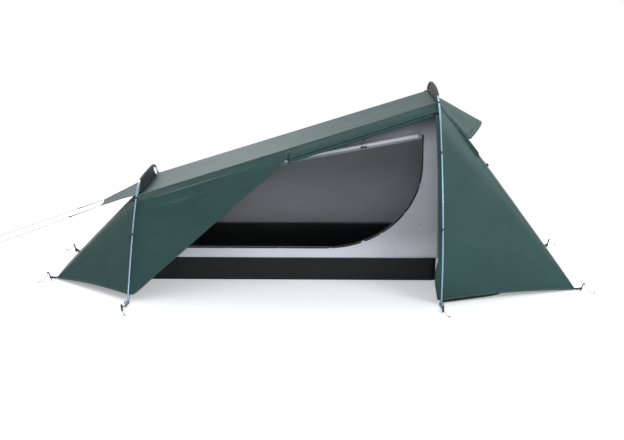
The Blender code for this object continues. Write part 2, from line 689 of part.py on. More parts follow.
def pole_set(word, hoop):
    """A pole: tubes that plug together, a tip in each end and the elastic that runs through it.

    Each tube but the last ends in a thinner ferrule, which fits inside the next tube. All of it hangs on
    an empty on the axis that the arch folds about.
    """
    line, sections = hoop.pole(), hoop.sections
    low_way = Vector(line[1] - line[0]).normalized()
    high_way = Vector(line[-2] - line[-1]).normalized()
    made = []
    for k in range(sections):
        part = line[k * SECTION_STEPS: (k + 1) * SECTION_STEPS + 1].copy()
        shares = [1.0] * len(part)
        way = part[1] - part[0]
        part[0] += way / np.linalg.norm(way) * (2 * FIT if k else TIP_LENGTH)
        if k < sections - 1:
            after = line[(k + 1) * SECTION_STEPS + 1] - part[-1]
            after /= np.linalg.norm(after)
            ferrule = [part[-1] + after * 0.00005, part[-1] + after * FERRULE_LENGTH]
            part = np.concatenate([part, ferrule])
            shares += [FERRULE, FERRULE]
        else:
            way = part[-2] - part[-1]
            part[-1] += way / np.linalg.norm(way) * TIP_LENGTH
        made.append(tube(f"{word}_pole_{k + 1}", part, POLE_R, "pole", wall=POLE_WALL, shares=shares))
    plug, collar = POLE_R - POLE_WALL - 0.0005, POLE_R - 0.0001
    profile = [(0, 0.034), (plug, 0.034), (plug, TIP_LENGTH - FIT), (collar, TIP_LENGTH - FIT),
               (collar, 0.013), (0.0026, 0.011), (0.0026, -0.003), (0.0014, -0.0052), (0, -0.0052)]
    made.append(turned(f"{word}_pole_tip_front", profile, "bare_alloy", along(line[0], low_way)))
    made.append(turned(f"{word}_pole_tip_back", profile, "bare_alloy", along(line[-1], high_way)))
    cord = line.copy()
    cord[0] += np.array(low_way) * 0.0345
    cord[-1] += np.array(high_way) * 0.0345
    made.append(tube(f"{word}_pole_elastic", cord, ELASTIC_R, "elastic", sides=1))
    pivot = bpy.data.objects.new(f"{word}_hoop_pivot", None)
    tent.objects.link(pivot)
    pivot.location = (hoop.x, 0, PIVOT_Z)
    bpy.context.view_layer.update()
    for item in made:
        item.parent = pivot
        item.matrix_parent_inverse = pivot.matrix_world.inverted()


def clip_tape(word, hoop, side, heights, lift):
    """A webbing tape along the flysheet's edge, with the open hooks that hold it to the pole."""
    leg = hoop.leg(side, ROWS)
    way = np.gradient(leg, axis=0)
    way /= np.linalg.norm(way, axis=1)[:, None]
    outward = np.stack([np.zeros(ROWS), side * way[:, 2], -side * way[:, 1]], axis=1)
    edge = leg + outward * (CLOTH / 2 + lift + STRAP_T / 2)
    at = np.concatenate([[0], np.cumsum(np.linalg.norm(np.diff(edge, axis=0), axis=1))])
    low, high = np.interp((heights[0] - 0.05, heights[-1] - 0.018), edge[:, 2], at)
    want = [low, *at[(at > low) & (at < high)], high]
    middle = np.stack([np.interp(want, at, edge[:, k]) for k in range(3)], axis=1)
    line = evenly(middle, 400)
    across = np.array([CLIP_TAPE / 2, 0, 0])
    made = [cloth("tape", np.stack([middle - across, middle + across], axis=1), "webbing", thick=STRAP_T,
                  inset=0.00001)]
    for z in heights:
        centre, up = hoop.at_height(z, side)
        gap = line - np.array(centre)
        near = int(np.argmin(np.linalg.norm(gap, axis=1)))
        reach = float(np.linalg.norm(gap[near]))
        inward = (Vector(line[near]) - centre).normalized()
        made.append(flat("hook", [hook(reach)], CLIP_LENGTH / 2, "plastic",
                         axes(centre, inward, Vector((1, 0, 0)), inward.cross(Vector((1, 0, 0))))))
    combine(f"{word}_clip_tape_{'front' if side < 0 else 'back'}", made, "webbing")


def hook(reach):
    """A hook's outline: a neck that reaches in to the tape, and an open ring round the pole."""
    hole = POLE_R + CLIP_GAP
    start = math.degrees(math.asin(CLIP_HALF / CLIP_R))
    ring = np.radians(np.linspace(start, 270, 10))
    bore = np.radians(np.linspace(270, -start, 10))
    return [(reach, -CLIP_HALF), (reach, CLIP_HALF),
            *[(CLIP_R * math.cos(a), CLIP_R * math.sin(a)) for a in ring],
            *[(hole * math.cos(a), hole * math.sin(a)) for a in bore],
            (CLIP_R * math.cos(math.radians(start)), -CLIP_HALF)]


def peg_frame(place, away):
    """A peg's own axes: local X away from the tent, square to the blade's length, and local Y up the blade."""
    away = Vector((away[0], away[1], 0)).normalized()
    up = Vector((0, 0, 1)) * math.cos(PEG_LEAN) + away * math.sin(PEG_LEAN)
    side = away * math.cos(PEG_LEAN) - Vector((0, 0, 1)) * math.sin(PEG_LEAN)
    lift = Vector((0, 0, PEG_W / 2 * math.sin(PEG_LEAN) + 0.0006))
    return axes(Vector(place) + lift, side, up, side.cross(up))


def notch(place, away, height, gap=0.0008):
    """The point at a height just inside a peg's blade, where a strap or a cord ends."""
    return peg_frame(place, away) @ Vector((-PEG_W / 2 - gap, height / math.cos(PEG_LEAN), 0))


def peg(name, place, away, height=PEG_H):
    """A peg's part above the ground, leaning away from the tent, with a hook at the top."""
    w = PEG_W / 2
    outline = [(-w, 0.0), (w, 0.0), (w, height * 0.72), (w * 0.2, height * 0.76), (w * 0.2, height * 0.86),
               (w * 1.7, height * 0.84), (w * 1.7, height * 0.93), (w, height), (-w, height)]
    return flat(name, [outline], PEG_T / 2, "peg", peg_frame(place, away))


def corner_peg(end_x, half, side):
    """Where a corner's peg stands, and the direction that it leans."""
    away = Vector((math.copysign(0.8, end_x), 0.6 * side, 0))
    return Vector((end_x, side * half, 0)) + away * CORNER_PEG_OUT, away


def strap(points):
    """A flat webbing strap along points, lying as level across as it can."""
    points = [Vector(p) for p in points]
    way = (points[-1] - points[0]).normalized()
    across = Vector((0, 0, 1)).cross(way).normalized() * STRAP_W / 2
    rows = [[tuple(p - across), tuple(p + across)] for p in points]
    return cloth("strap", rows, "webbing", thick=STRAP_T, inset=0.00001)


def foot_strap(word, hoop, side, place):
    """The ring that a pole's tip stands in, with a strap out to the peg and one in to the flysheet's hem."""
    line = hoop.pole() if side < 0 else hoop.pole()[::-1]
    foot, way = Vector(line[0]), Vector(line[1] - line[0])
    hub = foot + way * (RING_Z - foot.z) / way.z
    profile = [(RING_R, 0.0009), (RING_R, -0.0009), (RING_HOLE_R, -0.0009), (RING_HOLE_R, 0.0009),
               (RING_R, 0.0009)]
    ring = turned("ring", profile, "webbing", Matrix.Translation(hub))
    away = Vector((0, side, 0))
    grip = hub + away * (RING_R - 0.002)
    outer = strap([grip, grip + away * 0.03 + Vector((0, 0, 0.002)), notch(place, away, 0.018)])
    leg = Vector(hoop.leg(side, ROWS)[0])
    hem = Vector((foot[0], leg.y + side * 0.0016, leg.z + 0.003))
    inner = strap([hub - away * (RING_R - 0.002), hem])
    combine(f"{word}_hoop_strap_{'front' if side < 0 else 'back'}", [ring, outer, inner], "webbing")


def pegs_and_straps():
    """The corner pegs, and the pegs of the arches' feet with their straps."""
    for side, edge in ((-1, "front"), (1, "back")):
        for word, end_x, half in (("foot", FOOT_END_X, FOOT_END_HALF), ("head", HEAD_END_X, HEAD_END_HALF)):
            peg(f"peg_{word}_corner_{edge}", *corner_peg(end_x, half, side))
        for word, hoop in (("foot", FOOT), ("head", HEAD)):
            place = Vector((hoop.x - 0.004, side * HOOP_PEG_Y, 0))
            peg(f"peg_{word}_hoop_{edge}", place, (0, side), PEG_H * 0.85)
            foot_strap(word, hoop, side, place)


def guylines():
    """The two guylines of the awning, each with its tensioner and the peg that holds it."""
    for side, word in ((-1, "front"), (1, "back")):
        tip = Vector((AWNING_X, side * AWNING_HALF, AWNING_Z))
        place = Vector((GUY_PEG[0], side * GUY_PEG[1], 0))
        away = place - tip
        peg(f"peg_guyline_{word}", place, away)
        low = notch(place, away, PEG_H * 0.74, 0.0009)
        way = (low - tip).normalized()
        start = tip + way * (CORD_R + 0.0006)
        tube(f"guyline_{word}", [start.lerp(low, t) for t in np.linspace(0, 1, 24)], CORD_R, "cord")
        middle = tip + way * TENSIONER_AT
        half = Vector((0, 0, 0.011))
        sleeve = tube(f"tensioner_{word}", [-half, half], 0.0038, "plastic", wall=0.0022)
        sleeve.matrix_world = along(middle, way)


def vent_cord():
    """The short cord and its bead at the front edge of the head vent."""
    edge = HEAD.roof(-1), end_corner(-1, HEAD_END_X, HEAD_END_HALF)
    down = Vector(edge[1] - edge[0])
    down.y = 0
    normal = Vector((0, -1, 0)).cross(down).normalized()
    normal = -normal if normal.z < 0 else normal
    points = []
    for share, lift in ((0.31, 0.0019), (0.345, 0.0032), (0.375, 0.005)):
        place = Vector(between(*edge, share)) + Vector((0, 0.01, 0))
        points.append(tuple(place + normal * lift))
    line = smooth(points, 8)
    way = Vector(line[-1] - line[-2]).normalized()
    cord = tube("line", line, CORD_R, "cord")
    bead = turned("bead", [(0, 0.006), (0.004, 0.004), (0.004, -0.004), (0, -0.006)], "plastic",
                  along(Vector(line[-1]) + way * 0.004, way), steps=8)
    combine("vent_cord", [bead, cord], "cord")


front_panel()
side_panels()
cloth("fly_roof", [[FOOT.roof(-1), FOOT.roof(1)], [HEAD.roof(-1), HEAD.roof(1)]], inset=FOLD_SEAM)
end_sheet("foot", FOOT, FOOT_END_X, FOOT_END_HALF)
end_sheet("head", HEAD, HEAD_END_X, HEAD_END_HALF, vent=True)
awning_and_hood()
crest("head", HEAD, 0.3)
crest("foot", FOOT, 0.25)
inner_tent()
inner_door_fittings()
outer_door_fittings()
pole_set("head", HEAD)
pole_set("foot", FOOT)
for end in (-1, 1):
    clip_tape("head", HEAD, end, HEAD_CLIP_Z, 0.0005)
    clip_tape("foot", FOOT, end, FOOT_CLIP_Z, 0.0014)
pegs_and_straps()
guylines()
vent_cord()
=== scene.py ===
# %% [markdown]
# # A one-person two-hoop tent, in Blender
# The CAD frame gives the tent's poles, pegs and flat cloth solids in their places. This lesson turns it into
# something that looks like a real tent: cloth that sags and pulls into folds, hems with stitching, webbing,
# hooks, cords and anodised tube. First it loads the frame and keeps its box, which bounds the finished tent.

# %% Load the frame
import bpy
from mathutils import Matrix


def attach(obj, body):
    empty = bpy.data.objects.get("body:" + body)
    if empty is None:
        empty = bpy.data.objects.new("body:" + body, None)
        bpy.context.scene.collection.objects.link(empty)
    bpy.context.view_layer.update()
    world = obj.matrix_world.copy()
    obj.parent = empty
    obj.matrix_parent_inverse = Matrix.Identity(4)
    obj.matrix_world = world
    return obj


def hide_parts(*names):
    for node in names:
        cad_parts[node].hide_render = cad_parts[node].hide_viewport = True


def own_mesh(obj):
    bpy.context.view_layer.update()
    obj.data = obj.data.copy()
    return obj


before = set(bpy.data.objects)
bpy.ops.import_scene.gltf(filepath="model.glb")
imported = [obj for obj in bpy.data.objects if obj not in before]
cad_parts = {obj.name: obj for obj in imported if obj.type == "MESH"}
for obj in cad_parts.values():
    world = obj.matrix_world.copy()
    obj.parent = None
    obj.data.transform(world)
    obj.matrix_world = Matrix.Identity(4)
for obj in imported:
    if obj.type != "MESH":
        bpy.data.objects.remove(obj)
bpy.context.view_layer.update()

import math

import bmesh
import bpy
import numpy as np
from mathutils import Vector

scene = bpy.context.scene

# %% [markdown]
# ## The camera and the room
# The photograph was taken from a little above the roof, some seven metres off on the door's side. The camera
# stands where lines drawn back through the hoops, the corners and the ground line meet. The image is taken to
# be 624 by 440, and 1100 of its pixels make the focal length.

# %% Camera
IMAGE = (624, 440)
FOCAL_PIXELS = 1100
lens = bpy.data.cameras.new("photo_camera")
lens.sensor_width = 36
lens.lens = FOCAL_PIXELS / IMAGE[0] * 36
camera = bpy.data.objects.new("photo_camera", lens)
camera.location = (0.114, -6.682, 1.852)
camera.rotation_euler = (math.radians(90 - 13.074), 0, math.radians(1.004))
scene.collection.objects.link(camera)
scene.camera = camera
scene.view_settings.view_transform = "Standard"
print("lens", round(lens.lens, 2), "mm")

# %% [markdown]
# ## Small tools for cloth, cord and tube
# Nearly everything on a tent is a sheet or a section carried along a line. So two functions make most of the
# meshes: one lays quads over a grid of points, and one carries a closed section along a path. Their UV maps
# are in metres, so that a weave keeps its thread spacing on every piece.

# %% Lines and grids
def unit(v):
    """Each vector divided by its own length."""
    return v / np.maximum(np.linalg.norm(v, axis=-1, keepdims=True), 1e-12)


def heading(line):
    """The direction of a line at each of its points."""
    return unit(np.gradient(line, axis=0))


def evens(count):
    """Numbers spaced evenly from 0 to 1."""
    return np.linspace(0, 1, count)


def between(a, b, share):
    """The point, or row of points, that lies share of the way from a to b."""
    return np.asarray(a, float) * (1 - share) + np.asarray(b, float) * share


def travelled(line):
    """How far along a line each of its points lies: the sum of the steps before it."""
    return np.concatenate([[0], np.cumsum(np.linalg.norm(np.diff(line, axis=0), axis=1))])


def length_of(line):
    """The length of a line of points: the sum of its steps."""
    return float(np.linalg.norm(np.diff(line, axis=0), axis=1).sum())


def places(line, at, want):
    """The points of a line at the wanted places, where at gives the place of each of its own points."""
    return np.stack([np.interp(want, at, line[:, k]) for k in range(line.shape[1])], axis=1)


def evenly(line, count):
    """Points evenly spaced by length along a line."""
    at = travelled(line)
    return places(line, at, np.linspace(0, at[-1], count))


def smooth(points, count):
    """Points evenly spaced along a curve through the given ones: cubic pieces, each leaving a point in the
    direction from the point before it to the point after it."""
    given = np.asarray(points, float)
    at = travelled(given)
    slope = np.gradient(given, at, axis=0)
    fine = np.linspace(0, at[-1], 60 * len(given))
    k = np.clip(np.searchsorted(at, fine, side="right") - 1, 0, len(given) - 2)
    h = (at[k + 1] - at[k])[:, None]
    t = (fine - at[k])[:, None] / h
    curve = ((2 * t**3 - 3 * t**2 + 1) * given[k] + (t**3 - 2 * t**2 + t) * h * slope[k]
             + (3 * t**2 - 2 * t**3) * given[k + 1] + (t**3 - t**2) * h * slope[k + 1])
    return evenly(curve, count)


def step(x, low, high):
    """Rises from 0 at low to 1 at high along the curve 3t^2 - 2t^3."""
    t = np.clip((np.asarray(x, float) - low) / (high - low), 0, 1)
    return t * t * (3 - 2 * t)


def normals(grid):
    """The unit normal at each point of a grid: its slope down the rows crossed with its slope along them."""
    return unit(np.cross(np.gradient(grid, axis=1), np.gradient(grid, axis=0)))


def quads(grid, keep=None, wrap=False):
    """Quads over a grid of points, with corner UVs that are distances in metres along the rows and columns.
    Where keep is given it says which cells exist; wrap joins the last column to the first."""
    rows, columns = grid.shape[:2]
    at = np.arange(rows * columns).reshape(rows, columns)
    wide = grid
    if wrap:
        at = np.concatenate([at, at[:, :1]], axis=1)
        wide = np.concatenate([grid, grid[:, :1]], axis=1)
    u = np.cumsum(np.linalg.norm(np.diff(wide, axis=1, prepend=wide[:, :1]), axis=2), axis=1)
    v = np.cumsum(np.linalg.norm(np.diff(wide, axis=0, prepend=wide[:1]), axis=2), axis=0)
    uv = np.stack([u, v], axis=2)
    corners = [(slice(None, -1), slice(None, -1)), (slice(None, -1), slice(1, None)),
               (slice(1, None), slice(1, None)), (slice(1, None), slice(None, -1))]
    faces = np.stack([at[c] for c in corners], axis=-1)
    flat = np.stack([uv[c] for c in corners], axis=2)
    chosen = np.ones(faces.shape[:2], bool) if keep is None else keep
    return grid.reshape(-1, 3), faces[chosen], flat[chosen]


def carried(path, section, hint, size=1.0, ends=True):
    """A closed section carried along a path: each point is the path's own, plus the section's first number
    times the direction across and its second times the direction up. Across is the path's direction crossed
    with the hint. Closed ends are rings drawn in to the section's middle."""
    way = heading(path)
    across = unit(np.cross(way, np.broadcast_to(np.asarray(hint, float), way.shape)))
    up = np.cross(across, way)
    scale = np.broadcast_to(np.asarray(size, float), len(path))[:, None, None]
    rings = path[:, None] + scale * (section[None, :, :1] * across[:, None]
                                     + section[None, :, 1:] * up[:, None])
    if ends:
        caps = [np.broadcast_to(rings[k].mean(axis=0), rings[0].shape) for k in (0, -1)]
        rings = np.concatenate([caps[:1], rings, caps[1:]])
    return quads(rings, wrap=True)


def circle(radius, sides=16):
    """Points round a circle."""
    turn = np.linspace(0, 2 * np.pi, sides, endpoint=False)
    return radius * np.stack([np.cos(turn), np.sin(turn)], axis=1)


def oblong(wide, thick, corner=0.3):
    """A flat band's section: a rectangle whose four corners are cut by a share of its thickness."""
    w, t, c = wide / 2, thick / 2, thick * corner
    return np.array([(-w, -t + c), (-w + c, -t), (w - c, -t), (w, -t + c), (w, t - c), (w - c, t),
                     (-w + c, t), (-w, t - c)])


# %% Put a mesh into the scene
SAME_POINT = 2e-7


def put(name, parts, finish, body="tent", instead=(), wall=0.0, crease=None, soft=True):
    """One piece from several lots of quads, which rides on a body and stands for CAD nodes. A soft piece
    gets its own copy of its mesh. A wall makes a sheet into cloth of that thickness."""
    points = np.concatenate([p for p, _, _ in parts])
    start = np.cumsum([0] + [len(p) for p, _, _ in parts[:-1]])
    faces = np.concatenate([f + s for (_, f, _), s in zip(parts, start)])
    uv = np.concatenate([t for _, _, t in parts])
    mesh = bpy.data.meshes.new(name)
    mesh.from_pydata(points.tolist(), [], faces.tolist())
    mesh.uv_layers.new(name="metres").data.foreach_set("uv", uv.reshape(-1).astype(np.float32))
    shape = bmesh.new()
    shape.from_mesh(mesh)
    bmesh.ops.remove_doubles(shape, verts=shape.verts, dist=SAME_POINT)
    loose = [v for v in shape.verts if not v.link_faces]
    bmesh.ops.delete(shape, geom=loose, context="VERTS")
    if not wall:
        bmesh.ops.recalc_face_normals(shape, faces=shape.faces)
    shape.to_mesh(mesh)
    shape.free()
    mesh.shade_smooth()
    if crease is not None:
        mesh.set_sharp_from_angle(angle=math.radians(crease))
    piece = bpy.data.objects.new(name, mesh)
    scene.collection.objects.link(piece)
    mesh.materials.append(finish)
    if wall:
        cloth = piece.modifiers.new("cloth", "SOLIDIFY")
        cloth.thickness = wall
        cloth.offset = 0
    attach(piece, body)
    if instead:
        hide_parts(*instead)
    if soft:
        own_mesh(piece)
    return piece


# %% [markdown]
# ## Materials
# Colours are written as sRGB hex and turned linear once. One small function adds a node, sets its values and
# links its inputs. Patterns read the UV map in metres, or Object coordinates, and their scale is one over
# the real spacing, so a ripstop grid of 5 mm has scale 200.

# %% Colour and node helpers
def linear(text, alpha=1.0):
    """An sRGB hex colour as linear numbers: c / 12.92 below 0.04045, else ((c + 0.055) / 1.055)^2.4."""
    c = np.array([int(text[k:k + 2], 16) for k in (1, 3, 5)]) / 255
    c = np.where(c <= 0.04045, c / 12.92, ((c + 0.055) / 1.055)**2.4)
    return (*c.tolist(), alpha)


def fill(tree, made, inputs):
    """Gives a node its inputs, by name or number: each from a node's first output, an output socket, a hex
    colour or a value."""
    for key, source in inputs.items():
        if isinstance(source, bpy.types.Node):
            source = source.outputs[0]
        if isinstance(source, bpy.types.NodeSocket):
            tree.links.new(source, made.inputs[key])
        else:
            made.inputs[key].default_value = linear(source) if isinstance(source, str) else source


def node(tree, kind, inputs=None, **settings):
    """Adds a node. Settings that are its own attributes are set there, and the rest on its inputs by name."""
    made = tree.nodes.new("ShaderNode" + kind)
    own = {key: value for key, value in settings.items() if hasattr(made, key)}
    for key, value in own.items():
        setattr(made, key, value)
    fill(tree, made, {key.replace("_", " "): value for key, value in settings.items() if key not in own})
    fill(tree, made, inputs or {})
    return made


def blank(name, rough, metal=0.0, ior=1.5, **more):
    """A new material, its node tree and its Principled shader."""
    material = bpy.data.materials.new(name)
    material.use_nodes = True
    tree = material.node_tree
    shader = tree.nodes["Principled BSDF"]
    fill(tree, shader, {"Roughness": rough, "Metallic": metal, "IOR": ior})
    fill(tree, shader, {key.replace("_", " ").title(): value for key, value in more.items()})
    return material, tree, shader


# A Mix node that mixes colours has its factor at input 0, its colours at 6 and 7 and its result at output 2.
SHARE, FIRST, SECOND, RESULT = 0, 6, 7, 2
COLOURS = dict(data_type="RGBA")
TURN = 2 * math.pi
MM = 1000

# %% Cloth, woven
BAND_HALF, STITCH_IN, STITCH_HALF, STITCH_LONG = 0.0045, 0.002, 0.0005, 0.0035


def woven(name, colour, dark, light, rough, grid_mm, thread_mm, stitched=False, sheen=0.02, depth=0.35,
          painted_shades=()):
    """Coated cloth. Fine threads cross at thread_mm, every few threads a thicker one makes the ripstop grid,
    and slow noise gives the small unevenness of a sheet that has been packed. A stitched cloth has two dashed
    seams along its UV's first direction, 2 mm in from each edge of a 9 mm band. Each painted shade stands in
    for
    shade on the cloth: a direction, where along it the cloth is as it was, where it has reached the shade's
    colour, and that colour."""
    material, tree, shader = blank(name, rough, ior=1.36, sheen_weight=sheen, sheen_roughness=0.45)
    place = node(tree, "UVMap", uv_map="metres")
    body = node(tree, "TexCoord").outputs["Object"]
    apart = node(tree, "SeparateXYZ", {0: place}).outputs
    waves = []
    for axis in ("X", "Y"):
        turn = node(tree, "Math", {0: apart[axis], 1: TURN * MM / grid_mm}, operation="MULTIPLY")
        wave = node(tree, "Math", {0: turn}, operation="COSINE")
        waves.append(node(tree, "MapRange", {0: wave}, From_Min=0.93, From_Max=1.0))
    rib = node(tree, "Math", {0: waves[0], 1: waves[1]}, operation="MAXIMUM")
    threads = node(tree, "TexChecker", {"Vector": place}, Scale=MM / thread_mm).outputs["Fac"]
    slow = node(tree, "TexNoise", {"Vector": body}, Scale=5.5, Detail=3.0, Roughness=0.55)
    small = node(tree, "TexNoise", {"Vector": body}, Scale=28.0, Detail=4.0, Roughness=0.6)
    tone = node(tree, "MapRange", {0: slow}, From_Min=0.3, From_Max=0.7)
    shade = node(tree, "Mix", {SHARE: tone, FIRST: dark, SECOND: colour}, **COLOURS).outputs[RESULT]
    half_rib = node(tree, "Math", {0: rib, 1: 0.5}, operation="MULTIPLY")
    shade = node(tree, "Mix", {SHARE: half_rib, FIRST: shade, SECOND: light}, **COLOURS).outputs[RESULT]
    # Painted shade: the colour is mixed towards each shade's colour along its direction.
    for way, begin, end, shade_colour in painted_shades:
        along = node(tree, "VectorMath", {0: body, 1: way}, operation="DOT_PRODUCT").outputs["Value"]
        share = node(tree, "MapRange", {0: along}, interpolation_type="SMOOTHSTEP",
                     From_Min=begin, From_Max=end)
        shade = node(tree, "Mix", {SHARE: share, FIRST: shade, SECOND: shade_colour}, **COLOURS).outputs[RESULT]
    high = node(tree, "Math", {0: rib, 1: threads}, operation="ADD")
    weave = node(tree, "Bump", {"Height": high}, Strength=depth, Distance=0.0002)
    top = node(tree, "Bump", {"Height": small, "Normal": weave}, Strength=0.5, Distance=0.0035)
    if stitched:
        turn = node(tree, "Math", {0: apart["X"], 1: TURN / STITCH_LONG}, operation="MULTIPLY")
        dash = node(tree, "Math", {0: turn}, operation="SINE")
        dashed = node(tree, "Math", {0: dash, 1: -0.3}, operation="GREATER_THAN")
        away = node(tree, "Math", {0: apart["Y"], 1: BAND_HALF}, operation="PINGPONG")
        line = node(tree, "Math", {0: away, 1: STITCH_IN, 2: STITCH_HALF}, operation="COMPARE")
        seam = node(tree, "Math", {0: dashed, 1: line}, operation="MULTIPLY")
        shade = node(tree, "Mix", {SHARE: seam, FIRST: shade, SECOND: light}, **COLOURS).outputs[RESULT]
        top = node(tree, "Bump", {"Height": seam, "Normal": top}, Strength=0.8, Distance=0.0005)
    fill(tree, shader, {"Base Color": shade, "Normal": top})
    return material


# Silicone-coated ripstop nylon: a slight sheen at a glance, a square grid close up.
flysheet = woven("coated_ripstop_nylon", "#294a47", "#244340", "#34605c", 0.46, 5.0, 0.5)
flysheet_hem = woven("coated_ripstop_hem", "#264542", "#213e3b", "#5f7f7a", 0.5, 5.0, 0.5, stitched=True)
# Uncoated breathable nylon: paler, matt, lets a little light through.
INNER = dict(rough=0.8, grid_mm=6.0, thread_mm=0.5)
inner_cloth = woven("breathable_inner_nylon", "#c9ccd4", "#c2c5cd", "#d8dbe2", sheen=0.1, **INNER)
# The same cloth on the far walls, with painted shade: greyer towards the top, where the flysheet keeps the
# light off it.
inner_far_painted_shade = woven("breathable_inner_nylon_far_wall_painted_shade", "#e8ebf2", "#e0e3ea", "#eff2f8", sheen=0.1, **INNER,
                  painted_shades=[((0, 0, 1), 0.12, 0.66, "#94979d")])
# And on the front wall, painted light and shade: brightest at the sill, and a painted shadow under the
# flysheet's lintel, which slopes by 0.26.
inner_near_painted_shade = woven("breathable_inner_nylon_front_wall_painted_shade", "#dadde5", "#d3d6de", "#e6e9f0", sheen=0.1, **INNER,
                   painted_shades=[((0, 0, 1), 0.16, 0.33, "#b8bbc2"), ((-0.26, 0, 1), 0.63, 0.84, "#4b4d52")])
inner_binding = woven("inner_binding_tape", "#8e9298", "#86898f", "#c4c8cf", stitched=True, **INNER)
# Polyurethane-coated nylon for the tray: near black, faintly glossy.
tray_cloth = woven("coated_tray_nylon", "#151919", "#121515", "#1e2323", 0.5, 6.0, 0.5)
webbing = woven("woven_webbing", "#3a4445", "#343d3e", "#4c5859", 0.8, 1.6, 0.8, depth=0.8)
# Paler, bluer webbing for the straps that hold the poles' feet.
strap_webbing = woven("blue_grey_strap_webbing", "#7f9cad", "#7592a3", "#9ab4c3", 0.7, 1.6, 0.8, depth=0.8)
print("cloths", [m.name for m in bpy.data.materials if m.node_tree])

# %% Net, metal, plastic, cord and zip
NET_THREAD = 0.42


def netting(name, colour, hole_mm):
    """Fine net: threads on each side of their lines for 0.42 of the way to the next, and clear between."""
    material, tree, shader = blank(name, 0.85)
    apart = node(tree, "SeparateXYZ", {0: node(tree, "UVMap", uv_map="metres")}).outputs
    half = hole_mm / 2 / MM
    lines = []
    for axis in ("X", "Y"):
        back = node(tree, "Math", {0: apart[axis], 1: half}, operation="PINGPONG")
        lines.append(node(tree, "Math", {0: back, 1: half * NET_THREAD}, operation="LESS_THAN"))
    both = node(tree, "Math", {0: lines[0], 1: lines[1]}, operation="MAXIMUM")
    fill(tree, shader, {"Base Color": colour, "Alpha": both})
    return material


def anodised(name, colour, worn, rough):
    """Drawn and anodised aluminium: fine grain of about 3 mm, and a dye that is a little uneven."""
    material, tree, shader = blank(name, rough, metal=1.0)
    body = node(tree, "TexCoord").outputs["Object"]
    stretch = node(tree, "Mapping", {0: body}, Scale=(300, 300, 300))
    grain = node(tree, "TexNoise", {"Vector": stretch}, Scale=1.0, Detail=3.0)
    patch = node(tree, "TexNoise", {"Vector": body}, Scale=9.0, Detail=2.0)
    shade = node(tree, "Mix", {SHARE: patch, FIRST: colour, SECOND: worn}, **COLOURS).outputs[RESULT]
    spread = node(tree, "MapRange", {0: grain}, To_Min=rough - 0.06, To_Max=rough + 0.08)
    bump = node(tree, "Bump", {"Height": grain}, Strength=0.1, Distance=0.0001)
    fill(tree, shader, {"Base Color": shade, "Roughness": spread, "Normal": bump})
    return material


def moulded(name, colour, rough):
    """Moulded acetal or nylon: even colour, with the fine sparked texture of its mould."""
    material, tree, shader = blank(name, rough, ior=1.48)
    body = node(tree, "TexCoord").outputs["Object"]
    spark = node(tree, "TexNoise", {"Vector": body}, Scale=2200.0, Detail=2.0)
    cloud = node(tree, "TexNoise", {"Vector": body}, Scale=60.0, Detail=2.0)
    shade = node(tree, "Mix", {SHARE: cloud, FIRST: colour, SECOND: "#2b3031"}, **COLOURS).outputs[RESULT]
    bump = node(tree, "Bump", {"Height": spark}, Strength=0.25, Distance=0.0001)
    fill(tree, shader, {"Base Color": shade, "Normal": bump})
    return material


def braided(name, colour, dark, strand_mm, round_mm):
    """Braided cord: two families of strands wind round it in opposite ways, so they cross in diamonds."""
    material, tree, shader = blank(name, 0.75, sheen_weight=0.2)
    apart = node(tree, "SeparateXYZ", {0: node(tree, "UVMap", uv_map="metres")}).outputs
    round_turn = node(tree, "Math", {0: apart["X"], 1: TURN * 4 * MM / round_mm}, operation="MULTIPLY")
    run = node(tree, "Math", {0: apart["Y"], 1: TURN * MM / strand_mm}, operation="MULTIPLY")
    waves = []
    for way in ("ADD", "SUBTRACT"):
        turn = node(tree, "Math", {0: round_turn, 1: run}, operation=way)
        waves.append(node(tree, "Math", {0: turn}, operation="SINE"))
    cross = node(tree, "Math", {0: waves[0], 1: waves[1]}, operation="MAXIMUM")
    shade = node(tree, "Mix", {SHARE: cross, FIRST: dark, SECOND: colour}, **COLOURS).outputs[RESULT]
    bump = node(tree, "Bump", {"Height": cross}, Strength=0.6, Distance=0.0003)
    fill(tree, shader, {"Base Color": shade, "Normal": bump})
    return material


def toothed(name, colour, dark, pitch_mm):
    """A zip's coil on its tape: teeth across the run at the pitch, in a shiny nylon."""
    material, tree, shader = blank(name, 0.4)
    apart = node(tree, "SeparateXYZ", {0: node(tree, "UVMap", uv_map="metres")}).outputs
    run = node(tree, "Math", {0: apart["Y"], 1: TURN * MM / pitch_mm}, operation="MULTIPLY")
    tooth = node(tree, "Math", {0: run}, operation="SINE")
    shade = node(tree, "Mix", {SHARE: tooth, FIRST: dark, SECOND: colour}, **COLOURS).outputs[RESULT]
    bump = node(tree, "Bump", {"Height": tooth}, Strength=0.7, Distance=0.0005)
    fill(tree, shader, {"Base Color": shade, "Normal": bump})
    return material


vent_netting = netting("fine_vent_net", "#2c3132", 2.4)
blue_tube = anodised("blue_anodised_7075_tube", "#a9c6d6", "#9dbccd", 0.34)
bare_tip = anodised("bare_turned_alloy", "#c9cccf", "#b6babd", 0.32)
peg_alloy = anodised("green_grey_anodised_peg", "#56625f", "#4a5553", 0.4)
black_acetal = moulded("black_acetal", "#1c2021", 0.42)
buckle_nylon = moulded("blue_grey_nylon_buckle", "#6d9bb5", 0.4)
guy_braid = braided("charcoal_guyline_braid", "#2f3332", "#222524", 2.4, 6.3)
dark_braid = braided("dark_peg_cord_braid", "#4a5050", "#343939", 2.0, 5.0)
shock_braid = braided("black_shock_cord", "#2b2d2d", "#161717", 1.6, 6.9)
zip_coil = toothed("nylon_coil_zip", "#3a4042", "#1d2122", 1.3)
print("materials", len(bpy.data.materials))

# %% [markdown]
# ## The two hoops, as numbers
# Every panel of the flysheet ends at a hoop, so the hoops come before the cloth. Each is half an arch given
# as shares of its half width and height, mirrored, with a smooth curve through it. The flysheet's edge is
# the same curve moved in to clear the pole, which then turns in to the flat roof's corner.

